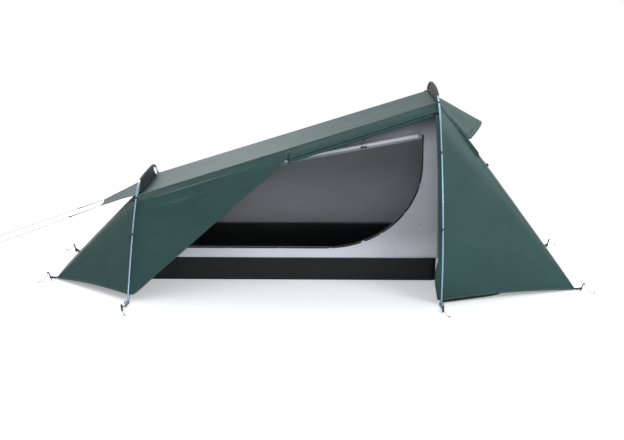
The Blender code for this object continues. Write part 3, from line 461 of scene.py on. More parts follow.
# %% The hoops and the flysheet's edges
PIVOT_Z, STANDOFF, SHOULDER = 0.006, 0.028, 0.035
POLE_POINTS, POLE_HALF = 1201, 600
SIDES = ((-1, "front"), (1, "back"))
HEAD_SHARES = ((1.0, 0.0), (1.018, 0.14), (1.0, 0.3), (0.945, 0.44), (0.825, 0.63), (0.72, 0.75),
               (0.59, 0.87), (0.45, 0.947), (0.3, 0.985), (0.15, 0.997), (0.0, 1.0))
FOOT_SHARES = ((1.0, 0.0), (0.875, 0.26), (0.72, 0.55), (0.57, 0.79), (0.45, 0.925), (0.32, 0.985),
               (0.16, 0.999), (0.0, 1.0))


def arch(x, half, top, shares):
    """Points of a pole's middle line from the front foot over the crown to the back foot."""
    shares = np.array(shares)
    side = np.stack([-half * shares[:, 0], PIVOT_Z + (top - PIVOT_Z) * shares[:, 1]], axis=1)
    line = smooth(np.concatenate([side, side[-2::-1] * (-1, 1)]), POLE_POINTS)
    return np.insert(line, 0, x, axis=1)


HEAD = dict(x=0.732, top=1.146, line=arch(0.732, 0.806, 1.146, HEAD_SHARES), hem=0.02, half=0.319, roof=1.076)
FOOT = dict(x=-1.024, top=0.606, line=arch(-1.024, 0.797, 0.606, FOOT_SHARES), hem=0.035, half=0.345,
            roof=0.5265)
HOOPS = (("head", HEAD), ("foot", FOOT))


def leg(hoop, side, rows):
    """The flysheet's edge on one side of a hoop (-1 in front, 1 behind), from the hem up: the pole's line
    moved in by the standoff, and then on to the roof's corner."""
    front = hoop["line"][:POLE_HALF, 1:]
    way = heading(front)
    inside = front + np.stack([way[:, 1], -way[:, 0]], axis=1) * STANDOFF
    kept = inside[(inside[:, 1] >= hoop["hem"]) & (inside[:, 1] <= hoop["roof"] - SHOULDER)][::20]
    edge = smooth(np.concatenate([kept, [[-hoop["half"], hoop["roof"]]]]), rows)
    return np.stack([np.full(rows, hoop["x"]), -side * edge[:, 0], edge[:, 1]], axis=1)


def roof_corner(hoop, side):
    """The corner of the flat roof at a hoop."""
    return np.array([hoop["x"], side * hoop["half"], hoop["roof"]])


print("pole lengths", [round(length_of(hoop["line"]), 3) for _, hoop in HOOPS], "m")

# %% [markdown]
# ## Cords: the guylines and the pegs' pull cords
# A cord has a fixed length, so its route is settled first. Each guyline is held taut between the awning's
# corner and a peg, with a short second strand from the corner back to its tensioner. Each peg has a pull
# cord, knotted at its end, that leaves a hole under the hook and drops to the ground.

# %% Pegs and where they stand
PEG_TOP, PEG_WIDE, PEG_LEAN = 0.058, 0.0085, math.radians(20)
GUY_TIP, GUY_PEG = (-1.324, 0.11, 0.401), (-2.315, 0.175)
CORNERS = {"foot": (-1.541, 0.312), "head": (1.541, 0.495)}
CORNER_Z = 0.006


def peg_axes(place, away):
    """A peg's foot and its own directions: out of the ground away from the tent, up the blade, and across."""
    away = unit(np.array([away[0], away[1], 0.0]))
    up = np.array([0, 0, math.cos(PEG_LEAN)]) + away * math.sin(PEG_LEAN)
    out = away * math.cos(PEG_LEAN) - np.array([0, 0, math.sin(PEG_LEAN)])
    return np.asarray(place, float) + (0, 0, PEG_WIDE / 2 * math.sin(PEG_LEAN) + 0.0006), out, up


def notch(place, away, height, gap):
    """A point at a height just inside a peg's blade."""
    foot, out, up = peg_axes(place, away)
    return foot + out * (-PEG_WIDE / 2 - gap) + up * (height / math.cos(PEG_LEAN))


pegs = {}
for side, edge in SIDES:
    for word, (x, half) in CORNERS.items():
        lean = np.array([math.copysign(0.8, x), 0.6 * side, 0])
        pegs[f"peg_{word}_corner_{edge}"] = (np.array([x, side * half, 0]) + lean * 0.031, lean, PEG_TOP)
    for word, hoop in (("foot", FOOT), ("head", HEAD)):
        pegs[f"peg_{word}_hoop_{edge}"] = (np.array([hoop["x"] - 0.004, side * 0.935, 0]),
                                           np.array([0, side, 0]), PEG_TOP * 0.85)
    stake = np.array([GUY_PEG[0], side * GUY_PEG[1], 0])
    pegs[f"peg_guyline_{edge}"] = (stake, stake - (GUY_TIP[0], side * GUY_TIP[1], GUY_TIP[2]), PEG_TOP)
print(len(pegs), "pegs, leaning", round(math.degrees(PEG_LEAN)), "degrees")

# %% Guylines
CORD_R, CORD_SAG, BESIDE = 0.0014, 0.004, 0.0032
TENSIONER_AT = 0.17
guys = {}
for side, edge in SIDES:
    place, away, _ = pegs[f"peg_guyline_{edge}"]
    tip = np.array([GUY_TIP[0], side * GUY_TIP[1], GUY_TIP[2]])
    low = notch(place, away, PEG_TOP * 0.74, 0.0009)
    way = unit(low - tip)
    start = tip + way * (CORD_R + 0.0006)
    share = evens(36)[:, None]
    path = start + (low - start) * share - (0, 0, CORD_SAG) * (4 * share * (1 - share))
    guys[edge] = dict(tip=tip, way=way, path=path, length=length_of(path))
    tube = carried(path, circle(CORD_R, 10), (0, 1, 0))
    piece = put(f"guyline_{edge}_cord", [tube], guy_braid, instead=[f"guyline_{edge}"])
    guys[edge]["piece"] = piece
    across = unit(np.cross(way, (0, 0, 1)))
    back = np.stack([tip + way * t + across * BESIDE for t in (0.004, 0.05, 0.1, TENSIONER_AT - 0.008)])
    strand = carried(smooth(back, 24), circle(CORD_R, 10), (0, 1, 0))
    guys[edge]["strand"] = put(f"guyline_{edge}_return", [strand], guy_braid)
    print(edge, "guyline", round(guys[edge]["length"], 4), "m")

# %% Pull cords with their knots
def overhand_knot(centre, size, thick, way):
    """A small knot: the curve (sin t + 2 sin 2t, cos t - 2 cos 2t, -sin 3t) with a tube round it."""
    t = np.linspace(0, 2 * np.pi, 61)
    local = np.stack([np.sin(t) + 2 * np.sin(2 * t), np.cos(t) - 2 * np.cos(2 * t), -np.sin(3 * t)], axis=1)
    way = unit(np.asarray(way, float))
    side = unit(np.cross(way, (0.1, 0.2, 1.0)))
    up = np.cross(side, way)
    path = centre + size / 3 * (local[:, :1] * side + local[:, 1:2] * up + local[:, 2:] * way)
    return carried(path, circle(thick / 2, 8), path - centre + 0.001 * way)


PULL_D = 0.0024
for name, (place, away, tall) in pegs.items():
    foot, out, up = peg_axes(place, away)
    level = unit(out * (1, 1, 0))
    turned = np.array([-level[1], level[0], 0]) * (0.5 if "hoop" in name else 0.12)
    hole = foot + up * (tall * 0.62) + out * 0.0052
    lie = PULL_D / 2 + 0.0007
    route = [hole, hole + out * 0.005 + level * 0.003, hole + level * 0.019 - (0, 0, 0.009) + turned * 0.012,
             *(hole * (1, 1, 0) + level * a + turned * b + (0, 0, lie + c)
               for a, b, c in ((0.038, 0.03, 0.006), (0.05, 0.045, 0), (0.066, 0.055, 0)))]
    path = smooth(route, 30)
    cord = put(f"pull_cord_{name[4:]}", [carried(path, circle(PULL_D / 2, 8), up + 0.3 * out)], dark_braid,
               soft=False)
    end = path[-1] + unit(path[-1] - path[-2]) * 0.0022 + (0, 0, 0.0030)
    knot = put(f"pull_knot_{name[4:]}", [overhand_knot(end, 0.0036, 0.0022, path[-1] - path[-2])], dark_braid,
               soft=False)
print(len(pegs), "pegs, each pull cord about", round(length_of(path) * 1000), "mm")

# %% [markdown]
# ## Pegs
# A peg of this kind is folded from sheet alloy to a V, with a hook turned out at its top that holds the strap
# down. A V section carried up the blade makes it, and a narrower one bends out over the hook.

# %% Pegs
vee = np.array([(-0.0054, -0.0020), (-0.0044, -0.0026), (0, 0.0009), (0.0044, -0.0026), (0.0054, -0.0020),
                (0, 0.0024)])
lip = oblong(0.0064, 0.0018)
for name, (place, away, tall) in pegs.items():
    foot, out, up = peg_axes(place, away)
    rise = np.linspace(0.0004, tall * 0.9, 12)[:, None]
    taper = np.interp(rise[:, 0], (0, 0.012, tall * 0.8, tall * 0.9), (0.96, 1.0, 1.0, 0.72))
    blade = carried(foot + up * rise, vee, -out, size=taper)
    crook = np.array([(0.0004, 0.8), (0.0012, 0.87), (0.0026, 0.93), (0.0052, 0.965), (0.0084, 0.955),
                      (0.0098, 0.90), (0.0092, 0.85)])
    bend = smooth(foot + out * crook[:, :1] + up * tall * crook[:, 1:] * 0.96, 22)
    hook = carried(bend, lip, np.cross(out, up))
    put(f"{name}_v", [blade, hook], peg_alloy, instead=[name], soft=False,
                           crease=35)
print(len(pegs), "pegs folded to a V", round(float(np.ptp(vee[:, 0])) * 1000, 1), "mm wide")

# %% Guylines' fittings
for side, edge in SIDES:
    guy = guys[edge]
    tip, way, path = guy["tip"], guy["way"], guy["path"]
    across = unit(np.cross(way, (0, 0, 1)))
    middle = tip + way * TENSIONER_AT + across * 0.0016
    above = np.cross(across, way)
    # A tensioner is a small waisted bar with two holes. The cord runs through one, and its end is knotted in
    # the other.
    run = np.linspace(-0.0105, 0.0105, 15)[:, None]
    waist = 0.78 + 0.3 * (np.abs(run[:, 0]) / 0.0105)**2
    bar = carried(middle + way * run, circle(0.0038, 16) * (1.25, 0.85), above, size=waist)
    tensioner = put(f"tensioner_{edge}_bar", [bar], black_acetal, body=f"tensioner_{edge}",
                    instead=[f"tensioner_{edge}"])
    tied = overhand_knot(middle + way * 0.0125 + above * 0.0056, 0.003, 0.0018, way)
    stop = put(f"tensioner_{edge}_knot", [tied], guy_braid, body=f"tensioner_{edge}")
    place, away, tall = pegs[f"peg_guyline_{edge}"]
    foot, out, up = peg_axes(place, away)
    turn = np.linspace(0, 2 * np.pi, 33)[:, None]
    centre = path[-1] + out * 0.0062
    loop = centre - out * np.cos(turn) * 0.0072 + np.cross(out, up) * np.sin(turn) * 0.0058
    ring = put(f"guyline_{edge}_loop", [carried(loop, circle(CORD_R, 10), up),
                                        overhand_knot(path[-1] - way * 0.004, 0.0028, 0.0018, way)],
               guy_braid)
print("guylines tied off, tensioners", TENSIONER_AT, "m from the awning")

# %% [markdown]
# ## How the flysheet's cloth is shaped
# Tent cloth is cut flat and pulled tight between stiff curves, so it bends in one direction, sags a little
# the other way, and pulls into shallow folds that run out from where the load is. A cloth simulation could
# find this, but the folds in the photograph are few and shallow, so code that says where each starts and
# ends gives them more exactly. The panel between two hoops is a ruled surface, sunk along its own normal.

# %% Sag and folds
def swell(count, power=1.0):
    """0 at both ends and 1 in the middle: the sine of half a turn, to a power."""
    return np.sin(np.pi * evens(count))**power


def pull(points, start, end, height, narrow, wide):
    """A fold's height over a grid: it follows the straight line from start to end, rises soon after the start
    and fades before the end, and falls off sideways as exp(-(distance / width)^2), widening as it goes."""
    line = end - start
    t = ((points - start) @ line) / (line @ line)
    away = np.linalg.norm(points - start - t[..., None] * line, axis=-1)
    width = narrow + (wide - narrow) * np.clip(t, 0, 1)
    return height * np.exp(-(away / width)**2) * step(t, -0.02, 0.12) * (1 - step(t, 0.45, 1.0))


def ripple(points, seed, spacing, height):
    """Gentle unevenness of cloth that was folded in its bag: a sum of nine plane waves, seeded, whose
    directions are turned all round and whose lengths lie about the spacing."""
    rng = np.random.default_rng(seed)
    ways = unit(rng.normal(size=(9, 3)))
    lengths = spacing * rng.uniform(0.6, 1.7, 9)
    phases = rng.uniform(0, 2 * np.pi, 9)
    waves = np.sin(2 * np.pi * (points @ ways.T) / lengths + phases)
    return height * waves.sum(axis=-1) / 3


def pinned(rows, columns, margin=0.06):
    """1 over a panel and 0 at its edges, so that neighbours still meet along their seam."""
    u, v = evens(columns), evens(rows)
    fade = [step(x, 0, margin) * (1 - step(x, 1 - margin, 1)) for x in (u, v)]
    return fade[1][:, None] * fade[0][None, :]


def shaped(grid, rise):
    """The grid moved along its own normals by a rise at each point."""
    return grid + normals(grid) * rise[..., None]


def picked(grid, shares):
    """The grid's points at pairs of shares of its rows and its columns."""
    rows, columns = grid.shape[:2]
    return [grid[int((rows - 1) * p), int((columns - 1) * q)] for p, q in shares]


def out_sign(grid, row, column, axis=2):
    """1 where the grid's normals look along an axis (0 for x, 2 for z), and -1 where they look against it."""
    return np.sign(normals(grid)[row, column, axis])


print("half way up a swell:", swell(5)[2], "and at its ends:", swell(5)[0])

# %% Hems and seams along a grid's edge
def edge_strip(grid, edge, wide, lift, outward=1.0):
    """A band of doubled cloth that follows a grid's edge, wide metres across, and lies lift metres off the
    cloth. Edge is low, high, left or right."""
    turned, up = [{"low": g, "high": g[::-1], "left": g.transpose(1, 0, 2),
                   "right": g.transpose(1, 0, 2)[::-1]}[edge] for g in (grid, normals(grid))]
    deep = np.cumsum(np.linalg.norm(np.diff(turned, axis=0, prepend=turned[:1]), axis=2), axis=0)
    want = np.linspace(0, wide, 4)
    place, up = [np.stack([places(g[:, c], deep[:, c], want) for c in range(g.shape[1])], axis=1)
                 for g in (turned, up)]
    return quads(place + unit(up) * lift * outward)


def panel_area(grid, keep=None):
    """The area of a grid of points, in square metres, from the cross products of its cells' diagonals."""
    a, b = grid[1:, 1:] - grid[:-1, :-1], grid[1:, :-1] - grid[:-1, 1:]
    cells = np.linalg.norm(np.cross(a, b), axis=2) / 2
    return float(cells[keep].sum() if keep is not None else cells.sum())


FLY_WALL, THIN_WALL, LIFT = 0.0007, 0.0004, 0.0007
SEAM_WIDE = 0.009
HEM_WIDE = 0.012

# %% [markdown]
# ## The front panel and the lintel
# One piece of cloth covers the foot half of the door side and runs on as a narrow lintel over the door. Its
# folds fan from the foot hoop's shoulder towards the toggle. The rows are shared out as on the CAD panel,
# seven ninths of them up to the door's corner, so the slanting edge stays straight.

# %% Front panel
DOOR_TOP_X, DOOR_HEM_X, LINTEL, LINTEL_HEAD = -0.148, -0.999, 0.104, 0.084


def roof_edge(x):
    """A point of the flat roof's front edge."""
    share = (x - FOOT["x"]) / (HEAD["x"] - FOOT["x"])
    return between(roof_corner(FOOT, -1), roof_corner(HEAD, -1), share)


def below_top(line, distance):
    """The point that lies a distance down an edge from its top."""
    down = np.cumsum(np.linalg.norm(np.diff(line, axis=0), axis=1)[::-1])[::-1]
    return line[int(np.argmin(np.abs(down - distance)))]


share = (DOOR_TOP_X - FOOT["x"]) / (HEAD["x"] - FOOT["x"])
# The door's corner keeps its place in the CAD, whose foot hoop has the roof's corner further in.
cad_foot = dict(FOOT, half=0.297, roof=0.515)
door_corner = below_top(between(leg(cad_foot, -1, 200), leg(HEAD, -1, 200), share), LINTEL)
door_hem = np.array([DOOR_HEM_X, leg(FOOT, -1, 10)[0][1] + 0.004, 0.0351])
door_top = roof_edge(DOOR_TOP_X)
lintel_low = below_top(leg(HEAD, -1, 200), LINTEL_HEAD)

ROWS, PANEL, BAND, CORNER_ROW = 109, 90, 64, 84
t = evens(ROWS)[:, None]
slant = np.where(t < 7 / 9, between(door_hem, door_corner, np.minimum(t * 9 / 7, 1)),
                 between(door_corner, door_top, np.clip((t - 7 / 9) * 4.5, 0, 1)))
panel = np.stack([between(leg(FOOT, -1, ROWS), slant, u) for u in evens(PANEL)], axis=1)
rise = -0.010 * swell(ROWS, 0.8)[:, None] * swell(PANEL)[None, :]
# Start and end of each fold, as shares of the panel's rows and columns, and how deep in millimetres the
# hollow under it is. The fold itself stands a quarter more than that.
FOLDS = (((0.889, 0.10), (0.857, 0.85), 3.4), ((0.75, 0.20), (0.75, 0.78), 3.8),
         ((0.667, 0.16), (0.70, 0.80), 3.6), ((0.657, 0.40), (0.775, 0.82), 2.8),
         ((0.63, 0.33), (0.652, 0.80), 2.4), ((0.824, 0.42), (0.855, 0.90), 2.6),
         ((0.87, 0.20), (0.87, 0.66), 2.2), ((0.787, 0.09), (0.725, 0.55), 2.4),
         ((0.60, 0.10), (0.60, 0.45), 1.6))
for *ends, height in FOLDS:
    a, b = picked(panel, ends)
    rise += pull(panel, a, b, height / 800, 0.007, 0.012)
    rise -= pull(panel, a - (0, 0, 0.018), b - (0, 0, 0.021), height / 1000, 0.007, 0.013)
panel = shaped(panel, (rise + ripple(panel, 3, 0.16, 0.0007)) * pinned(ROWS, PANEL, 0.04))
u = evens(BAND)[1:]
low_line = between(door_corner, lintel_low, u[:, None])
top_line = between(door_top, roof_corner(HEAD, -1), u[:, None])
v = np.clip((t[:, 0] - 7 / 9) * 4.5, 0, 1)
band = between(low_line, top_line, v[:, None, None])
band[:CORNER_ROW] += (u * 0.01)[None, :, None] * (1, 0, 0) + (slant[:CORNER_ROW, None] - door_corner)
band_rise = 0.004 * np.minimum(1, 8 * u * (1 - u) + 0.15) * np.sin(np.pi * v**0.6)[:, None]
band_rise += 0.0010 * np.sin(np.pi * v)[:, None] * np.sin(2 * np.pi * (u * 1.3 + 0.5 * v[:, None]))
front = np.concatenate([panel, shaped(band, band_rise)], axis=1)
present = np.ones((ROWS - 1, PANEL + BAND - 2), bool)
present[:CORNER_ROW, PANEL - 1:] = False
fly_front = put("fly_front_cloth", [quads(front, present)], flysheet, instead=["fly_front_panel"],
                wall=FLY_WALL, crease=40)
print("front panel and lintel", round(panel_area(front, present), 3), "m2 of", front.shape[:2], "points")

# %% [markdown]
# ## The back, the roof and the two ends
# The back spans both hoops in one sheet. The roof is the strip between the hoops' crowns, and each end wraps
# from one leg over the roof's edge to the other, folded once over each corner line. All of them sag between
# their stiff edges by one or two centimetres.

# %% Back panel and roof
rows, columns = 56, 96
back = np.stack([between(leg(FOOT, 1, rows), leg(HEAD, 1, rows), u) for u in evens(columns)],
                axis=1)
inward = 0.016 * swell(rows, 0.8)[:, None] * swell(columns, 0.9)[None, :]
for *ends, height in (((0.95, 0.02), (0.35, 0.5), 0.006), ((0.9, 0.02), (0.55, 0.6), 0.005),
                      ((0.97, 0.98), (0.3, 0.5), 0.006), ((0.9, 0.98), (0.12, 0.75), 0.006),
                      ((0.8, 0.02), (0.2, 0.35), 0.005), ((0.03, 0.98), (0.5, 0.7), 0.004),
                      ((0.03, 0.02), (0.5, 0.25), 0.004)):
    inward += pull(back, *picked(back, ends), height, 0.014, 0.045)
back = shaped(back, (inward + ripple(back, 5, 0.2, 0.0008)) * pinned(rows, columns, 0.035))
fly_back = put("fly_back_cloth", [quads(back)], flysheet, instead=["fly_side_back"],
               wall=FLY_WALL)

rows, columns = 30, 84
along = evens(columns)[:, None]
top = np.stack([between(between(roof_corner(FOOT, -1), roof_corner(FOOT, 1), v),
                        between(roof_corner(HEAD, -1), roof_corner(HEAD, 1), v), along)
                for v in evens(rows)])
sink = -0.007 * swell(rows, 0.7)[:, None] * swell(columns)[None, :] + ripple(top, 8, 0.22, 0.0006)
for ends in (((0.04, 0.98), (0.6, 0.3)), ((0.96, 0.98), (0.4, 0.3)), ((0.05, 0.02), (0.5, 0.5)),
             ((0.95, 0.02), (0.5, 0.5))):
    sink += pull(top, *picked(top, ends), 0.0035, 0.012, 0.05)
out_top = out_sign(top, 0, 0)
top = shaped(top, out_top * sink * pinned(rows, columns, 0.05))
fly_top = put("fly_top_cloth", [quads(top)], flysheet, instead=["fly_roof"], wall=FLY_WALL)
print(f"back {panel_area(back):.3f} m2, roof {panel_area(top):.3f} m2")

# %% The two ends
def end_grid(hoop, corner_x, half, rows, wall_rows, shares):
    """Points of an end sheet: each row runs from the hoop or the roof's edge (share 0) to the ground (share
    1). The front fan comes first, then the sloping wall, then the back fan."""
    corners = {side: np.array([corner_x, side * half, CORNER_Z]) for side in (-1, 1)}
    wedge = np.linspace(1, 0, rows)[:, None] * 0.02
    legs = {side: leg(hoop, side, rows) for side in (-1, 1)}
    feet = {side: corners[side] + wedge * unit(legs[side][0] - corners[side]) for side in (-1, 1)}
    roof = between(roof_corner(hoop, -1), roof_corner(hoop, 1), wall_rows[0][1:-1, None])
    ground = between(corners[-1], corners[1], wall_rows[1][1:-1, None])
    high = np.concatenate([legs[-1], roof, legs[1][::-1]])
    low = np.concatenate([feet[-1], ground, feet[1][::-1]])
    return np.stack([between(high, low, t) for t in shares], axis=1)


def wall_shares(width_high, width_low, margin, edge, inside):
    """Two lists of shares across an end wall, at the roof and at the ground, with a row margin metres in."""
    pair = []
    for width in (width_high, width_low):
        m = margin / width
        pair.append(np.concatenate([np.linspace(0, m, edge), np.linspace(m, 1 - m, inside)[1:-1],
                                    np.linspace(1 - m, 1, edge)]))
    return pair


def end_rise(grid, rows, sink, fan_sink):
    """The sag of an end sheet: deepest in the middle of each fan and of the wall, nothing at their edges."""
    count, columns = grid.shape[:2]
    across = np.zeros(count)
    across[:rows] = fan_sink * swell(rows, 0.8)
    across[count - rows:] = fan_sink * swell(rows, 0.8)
    across[rows - 1:count - rows + 1] += sink * swell(count - 2 * rows + 2, 0.45)
    return -across[:, None] * swell(columns, 0.7)[None, :]


def end_sheet(grid, shares, sinks, folds, widths, uneven, margin, lifts):
    """An end sheet from its plain grid, and the sign that its normals need to look outwards. It sags, takes
    each fold on both sides, and its fans' and wall's free edges rise a little: the fans' most in the middle,
    falling off by e for every four rows, and the wall's only near the ground. Each fold is the row and the
    share of the columns that it starts at, those that it ends at, and its height."""
    sag = end_rise(grid, FAN, *sinks)
    last = grid.shape[1] - 1
    for row, column, to_row, to_column, height in folds:
        for first, second in ((row, to_row), (-1 - row, -1 - to_row)):
            ends = grid[first, int(last * column)], grid[second, int(last * to_column)]
            sag += pull(grid, *ends, height, *widths)
    sign = np.sign(grid[FAN, -1, 0]) * out_sign(grid, FAN + 10, 20, 0)
    grid = shaped(grid, sign * (sag + ripple(grid, *uneven)) * pinned(*grid.shape[:2], margin))
    arch_up = np.sin(np.pi * shares)[None, :] * np.exp(-np.arange(FAN) / 4.0)[:, None] * lifts[0]
    grid[:FAN, :, 2] += arch_up
    grid[::-1][:FAN, :, 2] += arch_up
    grid[FAN:-FAN, :, 2] += lifts[1] * swell(len(grid) - 2 * FAN)[:, None] * shares[None, :]**8
    return grid, sign


FAN = 44
even = evens(46)
foot_plain = end_grid(FOOT, *CORNERS["foot"], FAN, wall_shares(0.594, 0.624, 0.05, 5, 30), even)
foot_folds = ((8, 0.0, 26, 0.7, 0.0016), (24, 0.0, 36, 0.8, 0.0016), (4, 0.98, 20, 0.3, 0.0016),
              (14, 1.0, 34, 0.25, 0.0014))
foot_sheet, out_foot = end_sheet(foot_plain, even, (-0.009, 0.007), foot_folds, (0.01, 0.03),
                                 (11, 0.15, 0.0007), 0.03, (0.012, 0.006))
fly_foot = put("fly_foot_cloth", [quads(foot_sheet)], flysheet, instead=["fly_foot"],
               wall=FLY_WALL, crease=24)

vent_high, vent_low = 0.07, 0.30
shares = np.concatenate([np.linspace(0, vent_high, 6), np.linspace(vent_high, vent_low, 15)[1:],
                         np.linspace(vent_low, 1, 42)[1:]])
head_plain = end_grid(HEAD, *CORNERS["head"], FAN, wall_shares(0.638, 0.99, 0.05, 5, 34), shares)
head_folds = ((12, 0.0, 30, 0.75, 0.0022), (30, 0.0, 38, 0.7, 0.002), (5, 0.98, 22, 0.25, 0.0022),
              (20, 1.0, 38, 0.3, 0.002), (2, 0.3, 12, 0.95, 0.0014))
head_sheet, out_head = end_sheet(head_plain, shares, (-0.014, 0.008), head_folds, (0.012, 0.035),
                                 (12, 0.2, 0.0008), 0.02, (0.014, 0.008))
head_cells = np.ones((len(head_sheet) - 1, len(shares) - 1), bool)
head_cells[FAN + 3:len(head_sheet) - FAN - 4, 5:19] = False
# The head end's front edge is turned in beside the door as a jamb, widest half way up.
turned_in = np.interp(head_sheet[:FAN, 0, 2], (0.0, 0.02, 0.126, 0.2, 0.25),
                      (0.018, 0.019, 0.038, 0.036, 0.021))
kept = head_sheet[:FAN, 0, 2] < lintel_low[2] - 0.004
share = np.linspace(1, 0, 7)
flat = 0 * turned_in[:, None]
jamb = head_sheet[:FAN, :1] + np.stack([-turned_in[:, None] * share, 0.012 * share**1.5 + flat, flat * share],
                                       axis=2)
fly_head = put("fly_head_cloth", [quads(head_sheet, head_cells), quads(jamb[kept])], flysheet,
               instead=["fly_head"], wall=FLY_WALL, crease=30)
vent = head_sheet[FAN + 3:len(head_sheet) - FAN - 3, 5:20]
vent_net = put("vent_net_sheet", [quads(vent)], vent_netting, instead=["vent_net"], wall=THIN_WALL)
print(f"foot end {panel_area(foot_sheet):.3f} m2, head end {panel_area(head_sheet, head_cells):.3f} m2")

# %% [markdown]
# ## Awning, hood and crests
# The awning is a small sheet pulled out by the guylines, so its free edges curve in between its corners. The
# hood's rim has a stiff edge sewn in, which holds it up in an arch over the vent. Each crest is a fin sewn to
# the roof with a sleeve along its top that the pole runs through.

# %% Awning and hood
rows, columns = 26, 34
s, t = np.linspace(-1, 1, columns), evens(rows)[:, None]


def level_line(x, half, z, s):
    """Points of a line that runs across the tent at one place and height, at shares s of its half width."""
    return np.stack([np.full(len(s), x), s * half, np.full(len(s), z)], axis=1)


root = level_line(FOOT["x"] - 0.0011, FOOT["half"], FOOT["roof"] + 0.0013, s)
awning = between(root, level_line(*GUY_TIP, s), t[..., None])
awning[..., 1] -= np.sin(np.pi * t) * 0.016 * s * np.abs(s)
awning[..., 0] += step(t, 0.4, 1.0) * 0.016 * (1 - s**2)
awning[..., 2] += -0.010 * np.sin(np.pi * t) * (1 - s**2) - 0.002 * np.cos(s * 9) * np.sin(np.pi * t)
fly_awning = put("fly_awning_cloth", [quads(awning)], flysheet, instead=["fly_awning"],
                 wall=FLY_WALL)

rows, columns = 26, 60
s, t = np.linspace(-1, 1, columns), evens(rows)[:, None, None]
arched = 1 - np.abs(s)**1.5
rim = np.stack([0.922 + 0.107 * arched, s * 0.345, 0.868 + 0.053 * arched], axis=1)
hood = between(level_line(0.7332, 0.319, 1.0774, s), rim, t)
hood_rise = 0.005 * np.sin(np.pi * t[..., 0]) * (1 - s**2) - 0.003 * np.sin(np.pi * t[..., 0]) * np.cos(s * 7)
hood = shaped(hood, out_sign(hood, 10, 30) * hood_rise)
fly_hood = put("fly_hood_cloth", [quads(hood)], flysheet, instead=["fly_hood"], wall=FLY_WALL)
corner_line = {-1: head_sheet[FAN - 1], 1: head_sheet[-FAN]}
RAISED = unit(np.array([1.07, 0, 0.809]))
VENT_AT, VENT_LIFT = (0.135, 0.15, 0.2, 0.275, 0.293), (0, 0.005, 0.013, 0.015, 0.003)


def vent_edge(side, at):
    """The vent's stiffened edge: it leaves the corner line by up to 15 mm, so the vent stands open."""
    line = places(corner_line[side], shares, at)
    return line + np.interp(at, VENT_AT, VENT_LIFT)[:, None] * RAISED


gussets = []
for side, edge in ((-1, hood[:, 0]), (1, hood[:, -1])):
    at = 0.004 + 0.201 * evens(rows)
    below = places(head_sheet[FAN - 2] if side < 0 else head_sheet[1 - FAN], shares, at)
    foot_line = between(vent_edge(side, at), below, 0.6 * (1 - step(at, 0.05, 0.14))[:, None])
    foot_line = foot_line + (0.0016, side * 0.0012, 0.0014)
    w = evens(10)[None, :, None]
    gussets.append(between(edge[:, None], foot_line[:, None], w))
    at = np.linspace(0.136, 0.293, 40)
    flat = places(corner_line[side], shares, at)
    gussets.append(between(flat[:, None] + (0.0004, 0, 0.0006), vent_edge(side, at)[:, None], w[:, ::2]))
hood_gussets = put("fly_hood_gussets", [quads(g) for g in gussets], flysheet, wall=FLY_WALL)
rim_line = hood[-1] - (0, 0, 0.0016)
hood_edge = put("fly_hood_edge", [carried(rim_line, circle(0.0013, 8), (0, 0, 1))], webbing)
print(f"awning {panel_area(awning):.3f} m2, hood {panel_area(hood):.3f} m2")

# %% Crests with their sleeves
CREST, SLEEVE_R = 72, 0.0066


def crest_parts(hoop, reach):
    """A sleeve round the pole's crown and a fin from it down to the roof's edge."""
    line = hoop["line"]
    crown = evenly(line[np.abs(line[:, 1]) < reach], CREST)
    covered = evenly(line[(line[:, 1] > -reach) & (line[:, 1] < reach + 0.075)], 84)
    turn = np.linspace(0, TURN, 21)[:-1]
    way = heading(crown)
    side = np.broadcast_to((1.0, 0, 0), way.shape)
    up = np.cross(side, way) * np.sign(np.cross(side, way)[:, 2:])
    radius = SLEEVE_R + 0.0006 * np.sin(np.linspace(0, 40, 84))**2
    along = heading(covered)
    rise = np.cross((1.0, 0, 0), along)
    rise = rise * np.sign(rise[:, 2:])
    level, high = [part[None, :, None] for part in (np.cos(turn), np.sin(turn))]
    round_it = level * np.array([1.0, 0, 0]) + high * rise[:, None]
    sleeve = covered[:, None] + radius[:, None, None] * round_it
    s = np.linspace(-1, 1, CREST)
    low = level_line(hoop["x"], hoop["half"] - 0.012, hoop["roof"] + 0.0009, s)
    share = evens(12)[:, None, None]
    fin = between(low, crown - up * SLEEVE_R, share)
    fin[..., 1] -= np.sin(np.pi * share[..., 0]) * 0.010 * s[None, :]**15
    fin[..., 0] += 0.0012 * np.sin(np.pi * share[..., 0]) * np.sin(np.linspace(0, 30, CREST))[None, :]
    area = panel_area(np.concatenate([sleeve, sleeve[:, :1]], axis=1)) + panel_area(fin)
    return [quads(sleeve, wrap=True), quads(fin)], fin, area


# Heavier, greyer cloth where the pole rubs.
crest_nylon = woven("heavy_crest_nylon", "#2b3332", "#252c2c", "#424b4a", 0.55, 5.0, 0.6)
crests = {}
for word, hoop, reach in (("head", HEAD, 0.3), ("foot", FOOT, 0.25)):
    parts, fin, area = crest_parts(hoop, reach)
    crest = put(f"{word}_crest_cloth", parts, crest_nylon, instead=[f"{word}_crest"],
                wall=FLY_WALL)
    wide = 2 * reach + 0.1
    crests[word] = (crest, area, (wide, area / wide / 0.8))
    put(f"{word}_crest_seam", [edge_strip(fin, "low", 0.007, LIFT, outward=way) for way in (1.0, -1.0)],
        flysheet_hem, wall=THIN_WALL)
print("crests over both crowns, of", [round(area, 4) for _, area, _ in crests.values()], "m2")

# %% [markdown]
# ## Hems, seams and the vent's binding
# Every edge of the flysheet is turned over twice and sewn, and every panel seam lies flat under a stitched
# band. These strips are what the eye finds first on a plain sheet, so each is its own thin piece.

